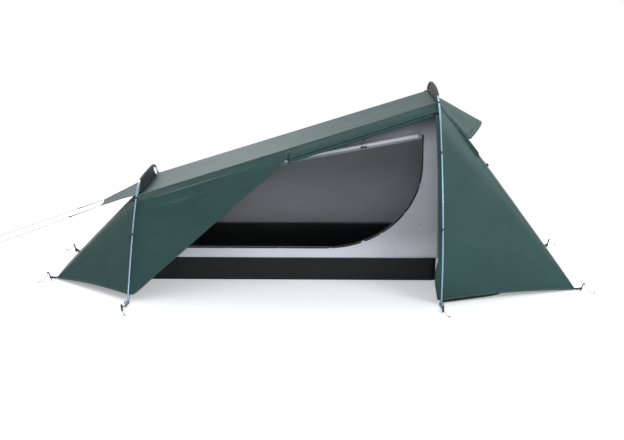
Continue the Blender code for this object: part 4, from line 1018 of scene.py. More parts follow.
# %% Stitched bands
# A darker band of doubled cloth takes the pole's load beside each hoop.
pole_band = woven("doubled_edge_band", "#22363a", "#1d2f33", "#57707a", 0.6, 5.0, 0.5, stitched=True)
out_awning, out_hood = out_sign(awning, 10, 10), out_sign(hood, 10, 30)
panel_cloth, lintel_cloth = front[:, :PANEL], front[CORNER_ROW:, PANEL - 1:]
# Each group's side of its cloth, and each band's cloth, edge and width. The roof's are on its inner side.
bands = {
    "front_seams": (1.0, [(panel_cloth, "low", HEM_WIDE), (front, "high", SEAM_WIDE),
                          (front[:CORNER_ROW + 1, :PANEL], "right", HEM_WIDE),
                          (lintel_cloth, "low", SEAM_WIDE)]),
    "back_seams": (-1.0, [(back, "low", HEM_WIDE), (back, "high", SEAM_WIDE)]),
    "top_seams": (-out_top, [(top, e, SEAM_WIDE) for e in ("low", "high", "left", "right")]),
    "awning_seams": (out_awning, [(awning, e, 0.008) for e in ("high", "left", "right")]),
    "hood_seams": (out_hood, [(hood, "high", 0.028), (hood, "left", 0.009), (hood, "right", 0.009)]),
}
for word, sheet, out in (("head", head_sheet, out_head), ("foot", foot_sheet, out_foot)):
    front_fan, back_fan, wall_rows = sheet[:FAN], sheet[-FAN:], sheet[FAN - 1:len(sheet) - FAN + 1]
    bands[f"{word}_end_seams"] = (out, [
        (front_fan, "low", HEM_WIDE), (front_fan, "high", 0.005), (back_fan, "high", HEM_WIDE),
        (back_fan, "low", 0.005), (wall_rows, "right", HEM_WIDE), (wall_rows, "left", SEAM_WIDE)])
seams = {name: put(f"fly_{name}", [edge_strip(*row, LIFT, way) for row in rows], flysheet_hem,
                   wall=THIN_WALL) for name, (way, rows) in bands.items()}
# A dark tape stiffens the vent's sides, and is doubled along its lower half.
piping = []
for side in (-1, 1):
    line = vent_edge(side, np.linspace(0.134, 0.293, 48))
    piping.append(carried(line, oblong(0.0062, 0.0050), (0, 1, 0),
                          size=0.55 + 0.45 * step(evens(48), 0.4, 0.5)))
put("vent_edge_stiffener", piping, webbing)
rim_parts = [edge_strip(vent, e, 0.010, 0.0009, out_head) for e in ("low", "high", "left", "right")]
vent_binding = put("vent_binding", rim_parts, pole_band, wall=THIN_WALL)
EDGE_BAND = 0.011, 0.0008
edges = {
    "foot_edge_bands": [(panel_cloth, "left", *EDGE_BAND, 1.0),
                        (foot_sheet[:FAN], "left", *EDGE_BAND, out_foot), (back, "left", *EDGE_BAND, -1.0),
                        (foot_sheet[-FAN:], "left", *EDGE_BAND, out_foot)],
    "head_edge_bands": [(head_sheet[:FAN], "left", *EDGE_BAND, out_head), (back, "right", *EDGE_BAND, -1.0),
                        (head_sheet[-FAN:], "left", *EDGE_BAND, out_head)],
    "lintel_edge": [(lintel_cloth, "low", 0.004, 0.0012, 1.0)],
}
for name, rows in edges.items():
    put(f"fly_{name}", [edge_strip(*row) for row in rows], pole_band, wall=THIN_WALL)
print(len(bands) + len(edges), "groups of bands")

# %% [markdown]
# ## Poles, tips and hooks
# The poles are drawn tube, so each section is one smooth tube with its ends broken over. The shaded side and
# the long highlight on a pale satin tube are most of what the photograph shows of it. The tips are turned.
# The hooks are open rings that snap over the tube, each on a short neck sewn to a tape.

# %% Poles
POLE_R = 0.0045
SECTIONS = {"head": 4, "foot": 3}


def tube_along(line, radius, round_over=0.0007, sides=24):
    """A tube with its ends rounded over: the radius falls by a fifth in the last bit of its length."""
    at = travelled(line)
    near = np.array([0, 0.25, 0.6, 1.0]) * round_over
    inner = np.linspace(near[-1], at[-1] - near[-1], len(line))[1:-1]
    want = np.concatenate([near, inner, at[-1] - near[::-1]])
    end = np.minimum(want, at[-1] - want) / round_over
    size = 0.8 + 0.2 * np.sqrt(np.clip(1 - (1 - np.clip(end, 0, 1))**2, 0, 1))
    return carried(places(line, at, want), circle(radius, sides), (1, 0, 0), size=size)


TIP_STAND, JOINT_GAP = 0.02, 0.0003
# A turned tip's outline: how far each ring lies from the pole's foot, and its radius.
profile = np.array([(-0.0052, 0.0011), (-0.0048, 0.0018), (-0.0036, 0.0025), (0.0105, 0.0026),
                    (0.0115, 0.0028), (0.0128, 0.0042), (0.0134, 0.0044), (0.0192, 0.0044),
                    (0.0196, 0.0041), (0.0197, 0.0034), (0.034, 0.0032)])
for word, hoop in HOOPS:
    line, count = evenly(hoop["line"], POLE_POINTS), SECTIONS[word]
    total = length_of(line)
    body = f"{word}_hoop"
    for k in range(count):
        low = TIP_STAND if k == 0 else total * k / count + JOINT_GAP
        high = total - TIP_STAND if k == count - 1 else total * (k + 1) / count - JOINT_GAP
        part = places(line, np.linspace(0, total, POLE_POINTS), np.linspace(low, high, 90))
        put(f"{word}_tube_{k + 1}", [tube_along(part, POLE_R)], blue_tube, body=body,
            instead=[f"{word}_pole_{k + 1}"], soft=False, crease=50)
    for edge, foot, after in (("front", line[0], line[1]), ("back", line[-1], line[-2])):
        path = foot + unit(after - foot) * profile[:, :1]
        turned_tip = carried(path, circle(1.0, 24), (1, 0, 0), size=profile[:, 1])
        put(f"{word}_turned_tip_{edge}", [turned_tip], bare_tip, body=body,
            instead=[f"{word}_pole_tip_{edge}"], soft=False, crease=30)
    elastic = carried(evenly(line[15:-15], 120), circle(0.0011, 8), (1, 0, 0))
    put(f"{word}_shock_cord", [elastic], shock_braid, body=body, instead=[f"{word}_pole_elastic"],
        soft=False)
    print(word, "hoop:", count, "tubes of", round(total / count, 3), "m")

# %% Flaps under the head end's hems, dark as painted shade
# A near-black strip of tray cloth under each hem: a flap, made dark enough to paint the shade in the gap
# under the hem.
flaps = []
for side, hem_line in ((-1, head_sheet[0]), (1, head_sheet[-1])):
    want = np.linspace(0.006, 0.44, 40)
    line = places(hem_line, shares, want)
    deep = 0.0155 * np.sqrt(np.clip(1 - ((want - 0.1) / 0.35)**4, 0, 1))
    low = line.copy()
    low[:, 2] = np.maximum(line[:, 2] - deep, 0.0012)
    low[:, 1] -= side * 0.003
    share = evens(5)[:, None, None]
    flaps.append(quads(between(line, low, share) - np.array([0, side * 0.0012, 0])))
put("head_hem_flaps_painted_shade", flaps, tray_cloth, wall=0.0005)
print("flaps", round(float(deep.max()) * 1000, 1), "mm deep")

# %% Hooks on their tapes
# Slate blue nylon, springy enough to snap over the tube.
hook_nylon = moulded("slate_nylon_hook", "#3d525c", 0.45)
HOOK_LONG, HOOK_STEPS = 0.013, 48
# Each hook's height as a share of its hoop's, and how far each tape lies off the cloth.
HOOKS = {"head": ((0.375, 0.724, 0.943), 0.0005), "foot": ((0.563, 0.862), 0.0014)}


def crosswise(path, way):
    """A direction square to a path and to another direction, at each of its points."""
    return np.cross(way, heading(path))


def hook_parts(centre, up, near):
    """A hook round a pole at centre, which runs along up, with its tab and its wing to the tape at near. The
    hook is an open ring of 256 degrees on a short neck."""
    reach = float(np.linalg.norm(near - centre))
    inward = unit(near - centre - up * np.dot(near - centre, up))
    radius = POLE_R + 0.0008 + 0.0010
    turn = np.radians(np.linspace(12, 268, 26))[:, None]
    ring = centre + radius * (np.cos(turn) * inward + np.sin(turn) * np.array([1.0, 0, 0]))
    neck = centre + inward * [[reach - 0.0004], [reach * 0.66], [radius + 0.003], [radius + 0.0006]]
    route = evenly(np.concatenate([neck, ring]), HOOK_STEPS)
    end = np.minimum(np.arange(HOOK_STEPS), np.arange(HOOK_STEPS)[::-1]) / 3
    hook = carried(route, oblong(HOOK_LONG, 0.0021, 0.35), crosswise(route, up),
                   size=np.clip(0.82 + 0.18 * end, 0, 1))
    tab = centre + inward * np.linspace(radius + 0.0030, reach + 0.0002, 10)[:, None] - (0.0055, 0, 0.004)
    wing = centre + inward * [[0.003], [0.004]] - ((0.006, 0, 0.013), (0.024, 0, 0.018))
    return hook, [carried(evenly(wing, 8), oblong(0.015, 0.004), (0, 1, 0)),
                  carried(tab, oblong(HOOK_LONG * 1.35, 0.0125, 0.3), crosswise(tab, up))]


for word, hoop in HOOPS:
    hook_shares, lift = HOOKS[word]
    heights = np.array(hook_shares) * hoop["top"]
    for side, edge in SIDES:
        line = leg(hoop, side, 60)
        way = heading(line)
        outward = np.stack([np.zeros(60), side * way[:, 2], -side * way[:, 1]], axis=1)
        tape = line + outward * (0.00095 + lift)
        tape = evenly(tape[(tape[:, 2] > heights[0] - 0.05) & (tape[:, 2] < heights[-1] - 0.018)], 60)
        hooks, tabs = [], [carried(tape, oblong(0.009, 0.0009), crosswise(tape, (1.0, 0, 0)))]
        pole = hoop["line"][::-side][:POLE_HALF]
        for z in heights:
            k = int(np.argmin(np.abs(pole[:, 2] - z)))
            near = tape[int(np.argmin(np.linalg.norm(tape - pole[k], axis=1)))]
            hook, tab = hook_parts(pole[k], unit(pole[k + 1] - pole[k]), near)
            hooks.append(hook)
            tabs += tab
        put(f"{word}_clip_tape_{edge}_web", tabs, webbing, instead=[f"{word}_clip_tape_{edge}"])
        put(f"{word}_clip_hooks_{edge}", hooks, hook_nylon)
    print(word, "hoop's hooks at", [round(float(z), 3) for z in heights], "m")

# %% [markdown]
# ## Straps at the hoops' feet and loops at the corners
# At each foot the pole's tip stands in an eyelet on a short strap, one end of it on the flysheet's hem and
# the other looped over a peg, with a ladder buckle that takes up the slack. The corners are only looped.

# %% Straps, eyelets and buckles
def band_along(points, wide, thick, flat_way, count=40):
    """A flat strap along a smooth curve; flat_way is the direction that its broad face looks."""
    return carried(smooth(points, count), oblong(wide, thick, 0.4), flat_way)


def ring_of(centre, normal, radius, thick, sides=40):
    """A plain ring: points (R + r cos v)(cos u, sin u) out from its centre and r sin v up from its plane."""
    normal = unit(np.asarray(normal, float))
    a = unit(np.cross(normal, (0.3, 0.2, 0.9)))
    b = np.cross(normal, a)
    u = np.linspace(0, TURN, sides + 1)[:, None, None] % TURN
    v = np.linspace(0, TURN, 11)[None, :-1, None]
    reach = radius + thick / 2 * np.cos(v)
    return quads(centre + reach * (np.cos(u) * a + np.sin(u) * b) + thick / 2 * np.sin(v) * normal, wrap=True)


def ladder_buckle(middle, run, side, face, half, wide):
    """A ladder buckle: three crossbars between two side rails. Half is half its length and wide half its
    width, and each rail bows by 1 - t^2 along its length."""
    run, side = np.asarray(run, float), np.asarray(side, float)
    parts, t = [], np.linspace(-1, 1, 9)[:, None]
    for shift, lift in ((-0.92, 0.0), (0.05, 0.0012), (0.92, 0.0)):
        bar = middle + run * half * shift + side * wide * t + face * lift
        parts.append(carried(bar, oblong(0.0038, 0.0028, 0.35), face))
    for end in (-1, 1):
        rail = middle + side * wide * end + run * half * t * 1.05 + face * 0.0008 * (1 - t**2)
        parts.append(carried(rail, oblong(0.0036, 0.0042, 0.35), face))
    return parts


RING_Z = 0.0026
STRAP = dict(wide=0.015, thick=0.0011, flat_way=(0, 0, 1))
for word, hoop in HOOPS:
    for side, edge in SIDES:
        line = hoop["line"][::-side]
        foot, way = line[0], unit(line[1] - line[0])
        hub = foot + way * (RING_Z - foot[2]) / way[2]
        out = np.array([0, side, 0.0])
        place, away, tall = pegs[f"peg_{word}_hoop_{edge}"]
        grip = notch(place, away, 0.018, 0.0008)
        rings = [ring_of(hub + (0, 0, z), (0, 0, 1), 0.0052, 0.0016) for z in (-0.0006, 0.0006)]
        put(f"{word}_eyelet_{edge}", rings, bare_tip)
        hem = leg(hoop, side, 10)[0]
        outer = band_along([hub + out * 0.0048, hub + out * 0.015 + (0, 0, 0.0008),
                            hub + out * 0.036 + (0, 0, 0.0026),
                            between(hub + out * 0.036, grip, 0.55) + (0, 0, 0.001), grip], **STRAP)
        inner = band_along([hub - out * 0.0048, between(hub, hem, 0.4) + (0, 0, 0.0002),
                            hem + (0, side * 0.0018, 0.004)], **STRAP)
        # The strap's doubled end lies on the ground: how far out, and how high, its points are.
        on_ground = ((0.0048, 0.0012), (0.024, 0.0020), (0.044, 0.0022), (0.060, 0.0009))
        lower = band_along([hub * (1, 1, 0) + out * t + (0, 0, z) for t, z in on_ground], 0.013, 0.0009,
                           STRAP["flat_way"])
        put(f"{word}_foot_straps_{edge}", [outer, inner, lower], strap_webbing,
            instead=[f"{word}_hoop_strap_{edge}"])
        run = unit(out - (0, 0, 0.62))
        face = unit(np.cross(run, (1.0, 0, 0)) * side)
        face = face if face[2] > 0 else -face
        buckle = ladder_buckle(hub + out * 0.0185 + (0, 0, 0.0098), run, (1.0, 0, 0), face, 0.0100, 0.0125)
        put(f"{word}_ladder_buckle_{edge}", buckle, buckle_nylon)

# %% Corner loops
for side, edge in SIDES:
    for word, (x, half) in CORNERS.items():
        place, away, tall = pegs[f"peg_{word}_corner_{edge}"]
        out = peg_axes(place, away)[1]
        level = unit(out * (1, 1, 0))
        across = np.array([-level[1], level[0], 0])
        turn = np.linspace(-np.pi / 2, np.pi / 2, 15)[:, None]
        round_peg = (notch(place, away, 0.014, 0.0) + level * 0.0042
                     + 0.0066 * (np.cos(turn) * level * 1.1 + np.sin(turn) * across))
        start = np.array([x, side * half, CORNER_Z]) + (0, 0, 0.004) - level * 0.004
        route = np.concatenate([[start - across * 0.0012, start + level * 0.012 - across * 0.0035], round_peg,
                                [start + level * 0.012 + across * 0.0035, start + across * 0.0012]])
        path = smooth(route, 70)
        loop = carried(path, oblong(0.010, 0.0011, 0.4), crosswise(path, (0, 0, 1.0)))
        put(f"{word}_corner_{edge}_loop", [loop], webbing)
print("straps with eyelets and buckles at four pole feet, and four loops of", round(length_of(path), 3), "m")

# %% [markdown]
# ## The rolled doors, the toggles and the zips
# A rolled door is one sheet wound up, so its section is a spiral whose outer edge shows as a step, and it is
# pinched where its toggle's loop goes round. The zips keep the edges that they were sewn to, and their
# sliders stand at the top because the doors are open.

# %% Rolled doors
INNER_FRONT = -0.302
OPENING_TOP = ((-0.80, 0.49), (-0.123, 0.7218), (0.646, 0.862))


def spiral(radius, turns=6.6, sides=26):
    """The section of a wound sheet, from its inner edge out: the radius grows evenly as it turns."""
    turn = np.linspace(0, TURN * turns, int(sides * turns))
    r = between(0.0022, radius, turn[:, None] / turn[-1])
    return r * np.stack([np.cos(turn - turn[-1] - 0.9), np.sin(turn - turn[-1] - 0.9)], axis=1)


def rolled(line, radius, pinches, seed, count=104, sizes=(1.0, 1.0)):
    """A wound sheet along a line. Its size is uneven by three sines, seeded, falls at each pinch by
    0.28 exp(-(d / 12 mm)^2), and grows from the first of sizes to the second along the line."""
    path = evenly(smooth(line, 400), count)
    at = np.linspace(0, length_of(path), count)
    phases = np.random.default_rng(seed).uniform(0, 6, 3)
    size = 0.93 + sum(a * np.sin(at * k + p) for a, k, p in zip((0.025, 0.02, 0.012), (31, 57, 112), phases))
    for place in pinches:
        size = size * (1 - 0.28 * np.exp(-((at - place * at[-1]) / 0.012)**2))
    size = (np.minimum(size, 1.0) * between(*sizes, at / at[-1]))[:, None, None]
    way = heading(path)
    across = unit(np.cross(way, (0.0, 1, 0)))
    up = np.cross(across, way)
    a, b = np.split(spiral(radius)[None], 2, axis=2)
    return path[:, None] + size * (a * across[:, None] + b * up[:, None])


start, stop = between(door_corner, lintel_low, 0.012), between(door_corner, lintel_low, 0.965)
drop = np.array([0, 0.75, -0.75]) * 0.0009 + np.array([0, 0.53, -0.85]) * 0.013
outer_line = np.array([between(start, stop, t) + drop for t in evens(12)])
outer_wound = rolled(outer_line, 0.0128, (0.03, 0.5, 0.93), 21)
outer_roll = put("outer_rolled_door", [quads(outer_wound)], flysheet, instead=["outer_door_roll"],
                 wall=THIN_WALL)
inner_knee = np.array(OPENING_TOP[1])
foot_point = np.array(OPENING_TOP[0]) + (0.05, 0.017)
head_point = np.array([0.626, between(*OPENING_TOP[1:], 0.97)[1]])
outside = INNER_FRONT - 0.00045 - 0.0003
knots = [between(foot_point, inner_knee, t) for t in np.linspace(0, 0.94, 6)]
knots += [between(inner_knee, head_point, t) for t in np.linspace(0.05, 1, 7)]
thicker = np.linspace(-0.003, 0.005, len(knots))
inner_line = np.array([(x, outside - 0.0102 - max(t, 0), z + 0.019 + t) for (x, z), t in zip(knots, thicker)])
inner_wound = rolled(inner_line, 0.0098, (0.30, 0.77), 22, sizes=(0.7, 1.5))
inner_roll = put("inner_rolled_door", [quads(inner_wound)], inner_cloth,
                 instead=["inner_door_roll"], wall=THIN_WALL)
for line, wound in ((outer_line, outer_wound), (inner_line, inner_wound)):
    print(f"a roll {length_of(line):.3f} m long, wound from {length_of(wound[50]):.3f} m of cloth")

# %% Toggles and their loops
TOGGLE_LONG, LOOP_THICK = 0.0138, 0.0022


def bar_toggle(place, way, size=1.0):
    """A waisted bar with rounded ends: its radius is 2.8 mm plus 1.2 (d / 11 mm)^2, up to 3.9 mm, where d is
    the distance from its middle, and falls off at the ends."""
    run = np.linspace(-TOGGLE_LONG, TOGGLE_LONG, 25)
    ends = np.sqrt(np.clip(1 - (np.abs(run) / 0.0139)**14, 0.02, 1))
    radius = (0.0028 + 0.0012 * (np.abs(run) / 0.011)**2) * ends
    way = unit(np.asarray(way, float))
    return carried(place + way * run[:, None] * size, circle(1.0, 20), (0.1, 1, 0.2),
                   size=np.minimum(radius, 0.0039) * size)


x, z = between(inner_knee, head_point, 0.57)
toggle_at = np.array([x, outside - 2 * 0.012 - 0.0042, z + 0.014])
put("inner_toggle_bar", [bar_toggle(toggle_at, (1, 0, 0.1), 1.35)], black_acetal,
    instead=["inner_door_toggle"])
head_way, foot_way = [unit(np.insert(p, 1, 0)) for p in (head_point - inner_knee, inner_knee - foot_point)]
x, z = between(foot_point, inner_knee, 0.62)
loops = [ring_of(toggle_at + (0, 0.0162, 0), head_way, 0.0102, LOOP_THICK),
         ring_of(np.array([x, outside - 0.012, z + 0.014]), foot_way, 0.0102, LOOP_THICK)]
hang = toggle_at + np.array([(-0.013, 0.001, 0.003), (-0.008, 0.019, 0.024), (0.0, 0.024, 0.040),
                             (0.008, 0.019, 0.024), (0.013, 0.001, 0.003)])
loops.append(carried(smooth(hang, 40), circle(0.0009, 8), (1, 0, 0)))
loops.append(band_along([toggle_at + (0, 0.0245, 0.038), toggle_at + (0, 0.0252, 0.050)],
                        0.012, 0.002, (0, 1, 0), 8))
put("inner_roll_loops", loops, shock_braid)

slope, across = unit(door_top - door_corner), unit(lintel_low - door_corner)
facing = unit(np.cross(across, slope))
facing = -facing if facing[1] > 0 else facing
toggle_at = between(door_corner, door_top, 0.30) + across * 0.012 + facing * (0.00045 + 0.0048)
put("outer_toggle_bar", [bar_toggle(toggle_at, slope, 1.5)], black_acetal,
    instead=["outer_door_toggle"])
round_roll = outer_line[0] + across * 0.010
hang = [toggle_at - facing * 0.002, toggle_at - slope * 0.020 + facing * 0.0005,
        door_corner + across * 0.013 + facing * 0.004, round_roll + facing * 0.0135,
        round_roll + (0, -0.004, -0.0135)]
put("outer_roll_loop", [carried(smooth(hang, 40), circle(0.0011, 8), across),
                        ring_of(round_roll, across, 0.0128, LOOP_THICK)], shock_braid)
tab = band_along([door_corner + across * 0.014 - slope * 0.020 + facing * 0.006,
                  door_corner + across * 0.0143 - slope * 0.0245 + facing * 0.0055], 0.003, 0.001, facing, 12)
# Two small raised arcs of pale blue-grey nylon on the gather beside the outer toggle, as its two light ticks.
ticks = []
for shift, low in ((-0.006, 0.006), (0.006, 0.0)):
    at = toggle_at + across * shift
    tick_arc = [at + slope * (0.016 - low), at + facing * 0.004 + slope * (0.028 - low),
              at + slope * (0.038 - low)]
    ticks.append(carried(smooth(tick_arc, 16), oblong(0.0034, 0.0016), facing))
# White webbing end, left long so that a gloved hand finds it.
white_tape = woven("white_webbing_end", "#d9dcdb", "#cdd0cf", "#eceeed", 0.8, 1.6, 0.8, depth=0.8)
put("outer_roll_pull", [tab], white_tape)
put("outer_toggle_light_ticks", ticks, buckle_nylon)
print("toggles at", [round(float(v), 3) for v in toggle_at])

# %% Zips
# The opening's lower head corner is a quarter of an ellipse: its middle, half width and half height.
BEND_X, BEND_Z, BEND_WIDE, BEND_TALL = 0.09, 0.70, 0.556, 0.495
ZIP_SILL, ZIP_HEAD = 0.201, 0.65


def flattened(points, y):
    """Points of the front wall's plane, given as x and z, at a depth y."""
    return np.stack([points[:, 0], np.full(len(points), y), points[:, 1]], axis=1)


turn = np.linspace(0, np.pi / 2, 40)[:, None]
bend = np.concatenate([BEND_X + BEND_WIDE * np.cos(turn), BEND_Z - BEND_TALL * np.sin(turn)], axis=1)
zip_path = np.concatenate([[(ZIP_HEAD, 0.882), (ZIP_HEAD, 0.79), (ZIP_HEAD, BEND_Z)],
                           bend[2:-1] + (0.0028, -0.0028),
                           [(BEND_X, ZIP_SILL), (-0.30, ZIP_SILL), (-0.80, ZIP_SILL)]])
inner_zip_line = flattened(evenly(zip_path, 260), outside - 0.0013)
coil = carried(inner_zip_line, circle(0.0011, 10) * (1.0, 0.9), (0, 1, 0))
tape = carried(inner_zip_line + (0, 0.0006, 0), oblong(0.011, 0.0006), (0, 1, 0))
put("inner_zip_coil", [coil, tape], zip_coil, instead=["inner_zip"])

out_way = unit(door_corner - door_hem)
aside = unit(np.array([1.0, 0, 0]) - out_way * out_way[0])
zip_ends = [between(door_hem, door_corner, t) + aside * 0.0018 for t in (0.012, 0.985)]
outer_zip_line = np.array([between(*zip_ends, t) for t in evens(160)])
zip_face = np.cross(out_way, aside)
zip_face = -zip_face if zip_face[1] > 0 else zip_face
coil = carried(outer_zip_line, circle(0.0013, 10), zip_face)
tape = carried(outer_zip_line - zip_face * 0.0006, oblong(0.0024, 0.0008), zip_face)
put("outer_zip_coil", [coil, tape], zip_coil, instead=["outer_zip"])
print("zips, inner and outer", [round(length_of(line), 3) for line in (inner_zip_line, outer_zip_line)], "m")

# %% Zip sliders
SLIDER_HALF, TAB_LONG = 0.0055, 0.026


def slider(place, run, face, pull_way):
    """A zip slider: a waisted body over the coil, a bridge, and a pull tab that hangs from it."""
    side = np.cross(run, face)
    length = np.linspace(-SLIDER_HALF, SLIDER_HALF, 13)[:, None]
    body = carried(place + run * length, oblong(0.0078, 0.0030, 0.45), face,
                   size=0.86 + 0.16 * np.abs(length[:, 0]) / SLIDER_HALF)
    arch_line = [place + run * a + face * b for a, b in ((-0.004, 0.0012), (0, 0.0032), (0.004, 0.0012))]
    bridge = carried(smooth(arch_line, 14), oblong(0.0022, 0.0011), side)
    hang = np.linspace(0, TAB_LONG, 14)[:, None]
    swing = place + face * 0.0022 + pull_way * (0.003 + hang) + face * 0.0008 * np.sin(hang / TAB_LONG * 3)
    tab = carried(swing, oblong(0.0052, 0.0014, 0.4), crosswise(swing, side) * -1,
                  size=np.interp(hang[:, 0], (0, 0.003, 0.008, 0.024, TAB_LONG), (0.55, 0.8, 1.0, 1.0, 0.7)))
    return [body, bridge, tab]


inner_at = np.array([ZIP_HEAD, outside - 0.003 - 0.0003 - 0.0015, 0.872])
outer_at = between(door_hem, door_corner, 0.9) + aside * 0.0018 + zip_face * 0.0033
for word, place, run, face in (("inner", inner_at, np.array([0, 0, 1.0]), np.array([0, -1.0, 0])),
                               ("outer", outer_at, out_way, zip_face)):
    put(f"{word}_slider_body", slider(place, run, face, -run), black_acetal,
        body=f"{word}_zip_slider", instead=[f"{word}_zip_slider"], crease=40)
print("sliders at", [[round(float(v), 3) for v in place] for place in (inner_at, outer_at)])

# %% [markdown]
# ## The inner tent
# The tray is one sheet folded up into a tub, so it is one surface here too: its rim, its wall and its floor
# are rings of points drawn in to the middle. The pale walls above it hang from the flysheet by short elastics
# and are only lightly stretched, so they carry more and softer folds than the outer cloth.

# %% Tray
TRAY_H, FLOOR_Z, AROUND = 0.139, 0.0008, 420
FOOT_END, INNER_HEAD, INNER_BACK = -1.37, 0.748, 0.598
CUT_X, CUT_Y = -1.0, 0.32
INNER_WALL = 0.0006
outline = np.array([(FOOT_END, INNER_FRONT), (INNER_HEAD, INNER_FRONT), (INNER_HEAD, INNER_BACK),
                    (CUT_X, INNER_BACK), (FOOT_END, CUT_Y)])


def rounded(corners, radius, count, steps=8):
    """A closed outline as evenly spaced points, each corner rounded by the curve
    (1 - t)^2 before + 2 t (1 - t) corner + t^2 after."""
    made = []
    for k, corner in enumerate(corners):
        before, after = [corner + unit(corners[(k + d) % len(corners)] - corner) * radius for d in (-1, 1)]
        t = evens(steps)[:, None]
        made.append((1 - t)**2 * before + 2 * t * (1 - t) * corner + t**2 * after)
    ring = np.concatenate(made)
    return evenly(np.concatenate([ring, ring[:1]]), count + 1)[:-1]


foot_ring, top_ring = rounded(outline, 0.030, AROUND), rounded(outline, 0.016, AROUND)
along_ring = np.linspace(0, TURN, AROUND, endpoint=False)
heights = np.array([1.0, 0.985, 0.93, 0.84, 0.72, 0.6, 0.48, 0.36, 0.25, 0.16, 0.09, 0.045, 0.02, 0.008])
centre = np.array([-0.3, 0.1])
inwards = unit(centre - foot_ring)
rng = np.random.default_rng(31)
creases = sum(rng.uniform(0.3, 1) * np.sin(along_ring * k + rng.uniform(0, 6))
              for k in (9, 17, 26, 41, 63)) / 3
rings = []
for share in heights:
    bulge = 0.0045 * np.sin(np.pi * share)**0.7 if 0 < share < 1 else 0.0
    ring = between(foot_ring, top_ring, share)
    ring = ring + inwards * (bulge * (0.55 + 0.45 * creases[:, None]) + 0.0008)
    rings.append(np.insert(ring, 2, share * TRAY_H, axis=1))
rings = np.array(rings)
# The rim sags by up to 4 mm between the corners, and no point lies lower than 0.6 mm.
near_corner = np.min(np.linalg.norm(top_ring[:, None] - outline[None], axis=2), axis=1)
sagging = -0.004 * (1 - np.exp(-(near_corner / 0.12)**2))
rings[:, :, 2] = np.maximum(rings[:, :, 2] + sagging[None, :] * heights[:, None]**3, 0.0006)
floor = np.array([np.insert(between(foot_ring, centre, s), 2, FLOOR_Z, axis=1)
                  for s in (0.004, 0.02, 0.06, 0.14, 0.26, 0.4, 0.55, 0.7, 0.84, 0.95, 1.0)])
floor[1:-1, :, 2] += 0.0016 * (1 + np.sin(floor[1:-1, :, 0] * 23 + 2 * np.sin(floor[1:-1, :, 1] * 14))) / 2
tub = np.concatenate([rings, floor])
tub_round = np.concatenate([tub, tub[:, :1]], axis=1)
tray = put("tray_tub", [quads(tub, wrap=True)], tray_cloth, instead=["inner_tray"], wall=0.0008)
rim = carried(tub_round[0] + (0, 0, 0.0006), oblong(0.0028, 0.005), (0, 0, 1), ends=False)
binding = put("tray_rim", [rim], webbing)
print("tray", round(panel_area(tub_round), 3), "m2")

# %% Front wall with its door opening
def inner_roof_z(x):
    """Height of the inner tent's roof: a straight line from the foot hoop to the head hoop, 45 mm down."""
    return 0.515 + (1.076 - 0.515) * (np.asarray(x, float) + 1.024) / 1.756 - 0.045


def over_opening(x):
    """Height of the door opening's upper edge: straight from point to point."""
    return np.interp(x, *zip(*OPENING_TOP))


def under_opening(x):
    """Height of the sill, and of the curved corner at its head end: z0 - c sqrt(1 - bend^2)."""
    bend = np.clip((np.asarray(x, float) - BEND_X) / BEND_WIDE, 0, 1)
    return BEND_Z - BEND_TALL * np.sqrt(1 - bend**2)


def roof_line(x):
    """Height of the front wall's upper edge: it climbs the foot slope and then follows the roof."""
    slope = TRAY_H + (inner_roof_z(-1.024) - TRAY_H) * (np.asarray(x, float) + 1.37) / 0.346
    return np.where(np.asarray(x) < -1.024, slope, inner_roof_z(x)) - 0.0006


def lean(z):
    """How far along the tent the head wall is at a height: it leans in by 16 mm up to the roof."""
    return INNER_HEAD + 0.012 - 0.016 * (z - TRAY_H) / (inner_roof_z(0.712) - TRAY_H)


def wall_block(x, low, high, rows):
    """A block of the front wall: columns at x, rows evenly from a lower line to an upper one."""
    heights = between(low, high, evens(rows)[:, None])
    return np.stack([np.broadcast_to(x, heights.shape), np.zeros(heights.shape), heights], axis=2)


def rungs(x):
    """Heights of the wall's rows at one side of the opening: below it, beside it and above it."""
    low, high = under_opening(x), over_opening(x)
    return np.concatenate([np.linspace(base, low, LOW), np.linspace(low, high, GAP)[1:-1],
                           np.linspace(high, roof_line(x), HIGH)])


LOW, HIGH, GAP = 26, 16, 22
base = TRAY_H + 0.0006
(door_foot, foot_top), _, (door_head, head_top) = OPENING_TOP
x_foot = np.linspace(-1.366, door_foot, 44)
x_open = np.concatenate([np.linspace(door_foot, BEND_X, 64),
                         BEND_X + BEND_WIDE * np.sin(np.linspace(0, np.pi / 2, 44))[1:]])
levels = rungs(door_foot)
share = (levels - base) / (levels[-1] - base)
foot_block = np.stack([flattened(np.stack([x_foot, base + (roof_line(x_foot) - base) * s], axis=1), 0)
                       for s in share])
share = evens(9)
head_block = np.stack([np.stack([between(door_head, lean(z) - 0.0006, share), 0 * share, np.full(9, z)],
                                axis=1) for z in rungs(door_head)])
head_block[:, :, 2] = np.minimum(head_block[:, :, 2], roof_line(head_block[:, :, 0]))
blocks = [wall_block(x_open, base + 0 * x_open, under_opening(x_open), LOW),
          wall_block(x_open, over_opening(x_open), roof_line(x_open), HIGH), foot_block, head_block]
front_area = sum(panel_area(grid) for grid in blocks)
print("inner front", round(front_area, 3), "m2 in", len(blocks), "blocks")

# %% The front wall's folds and its bindings
SILL = 0.205
# Tension lines from the opening's corners to the tray: start and end as x and z, and height.
PULLS = (((-0.80, SILL), (-1.30, 0.16), 0.0030), ((-0.80, 0.49), (-1.05, 0.30), 0.0026),
         ((-0.80, SILL), (-0.55, 0.145), 0.0018), ((0.46, 0.33), (0.70, 0.16), 0.0050),
         ((0.40, 0.30), (0.52, 0.15), 0.0038), ((0.30, 0.26), (0.34, 0.145), 0.0026),
         ((0.54, 0.42), (0.72, 0.30), 0.0036), ((0.62, 0.60), (0.72, 0.48), 0.0024),
         ((0.10, SILL), (0.16, 0.142), 0.0018), ((-0.20, SILL), (-0.12, 0.142), 0.0014),
         ((-0.50, SILL), (-0.44, 0.142), 0.0014), ((0.70, 0.14), (0.50, 0.24), 0.003))


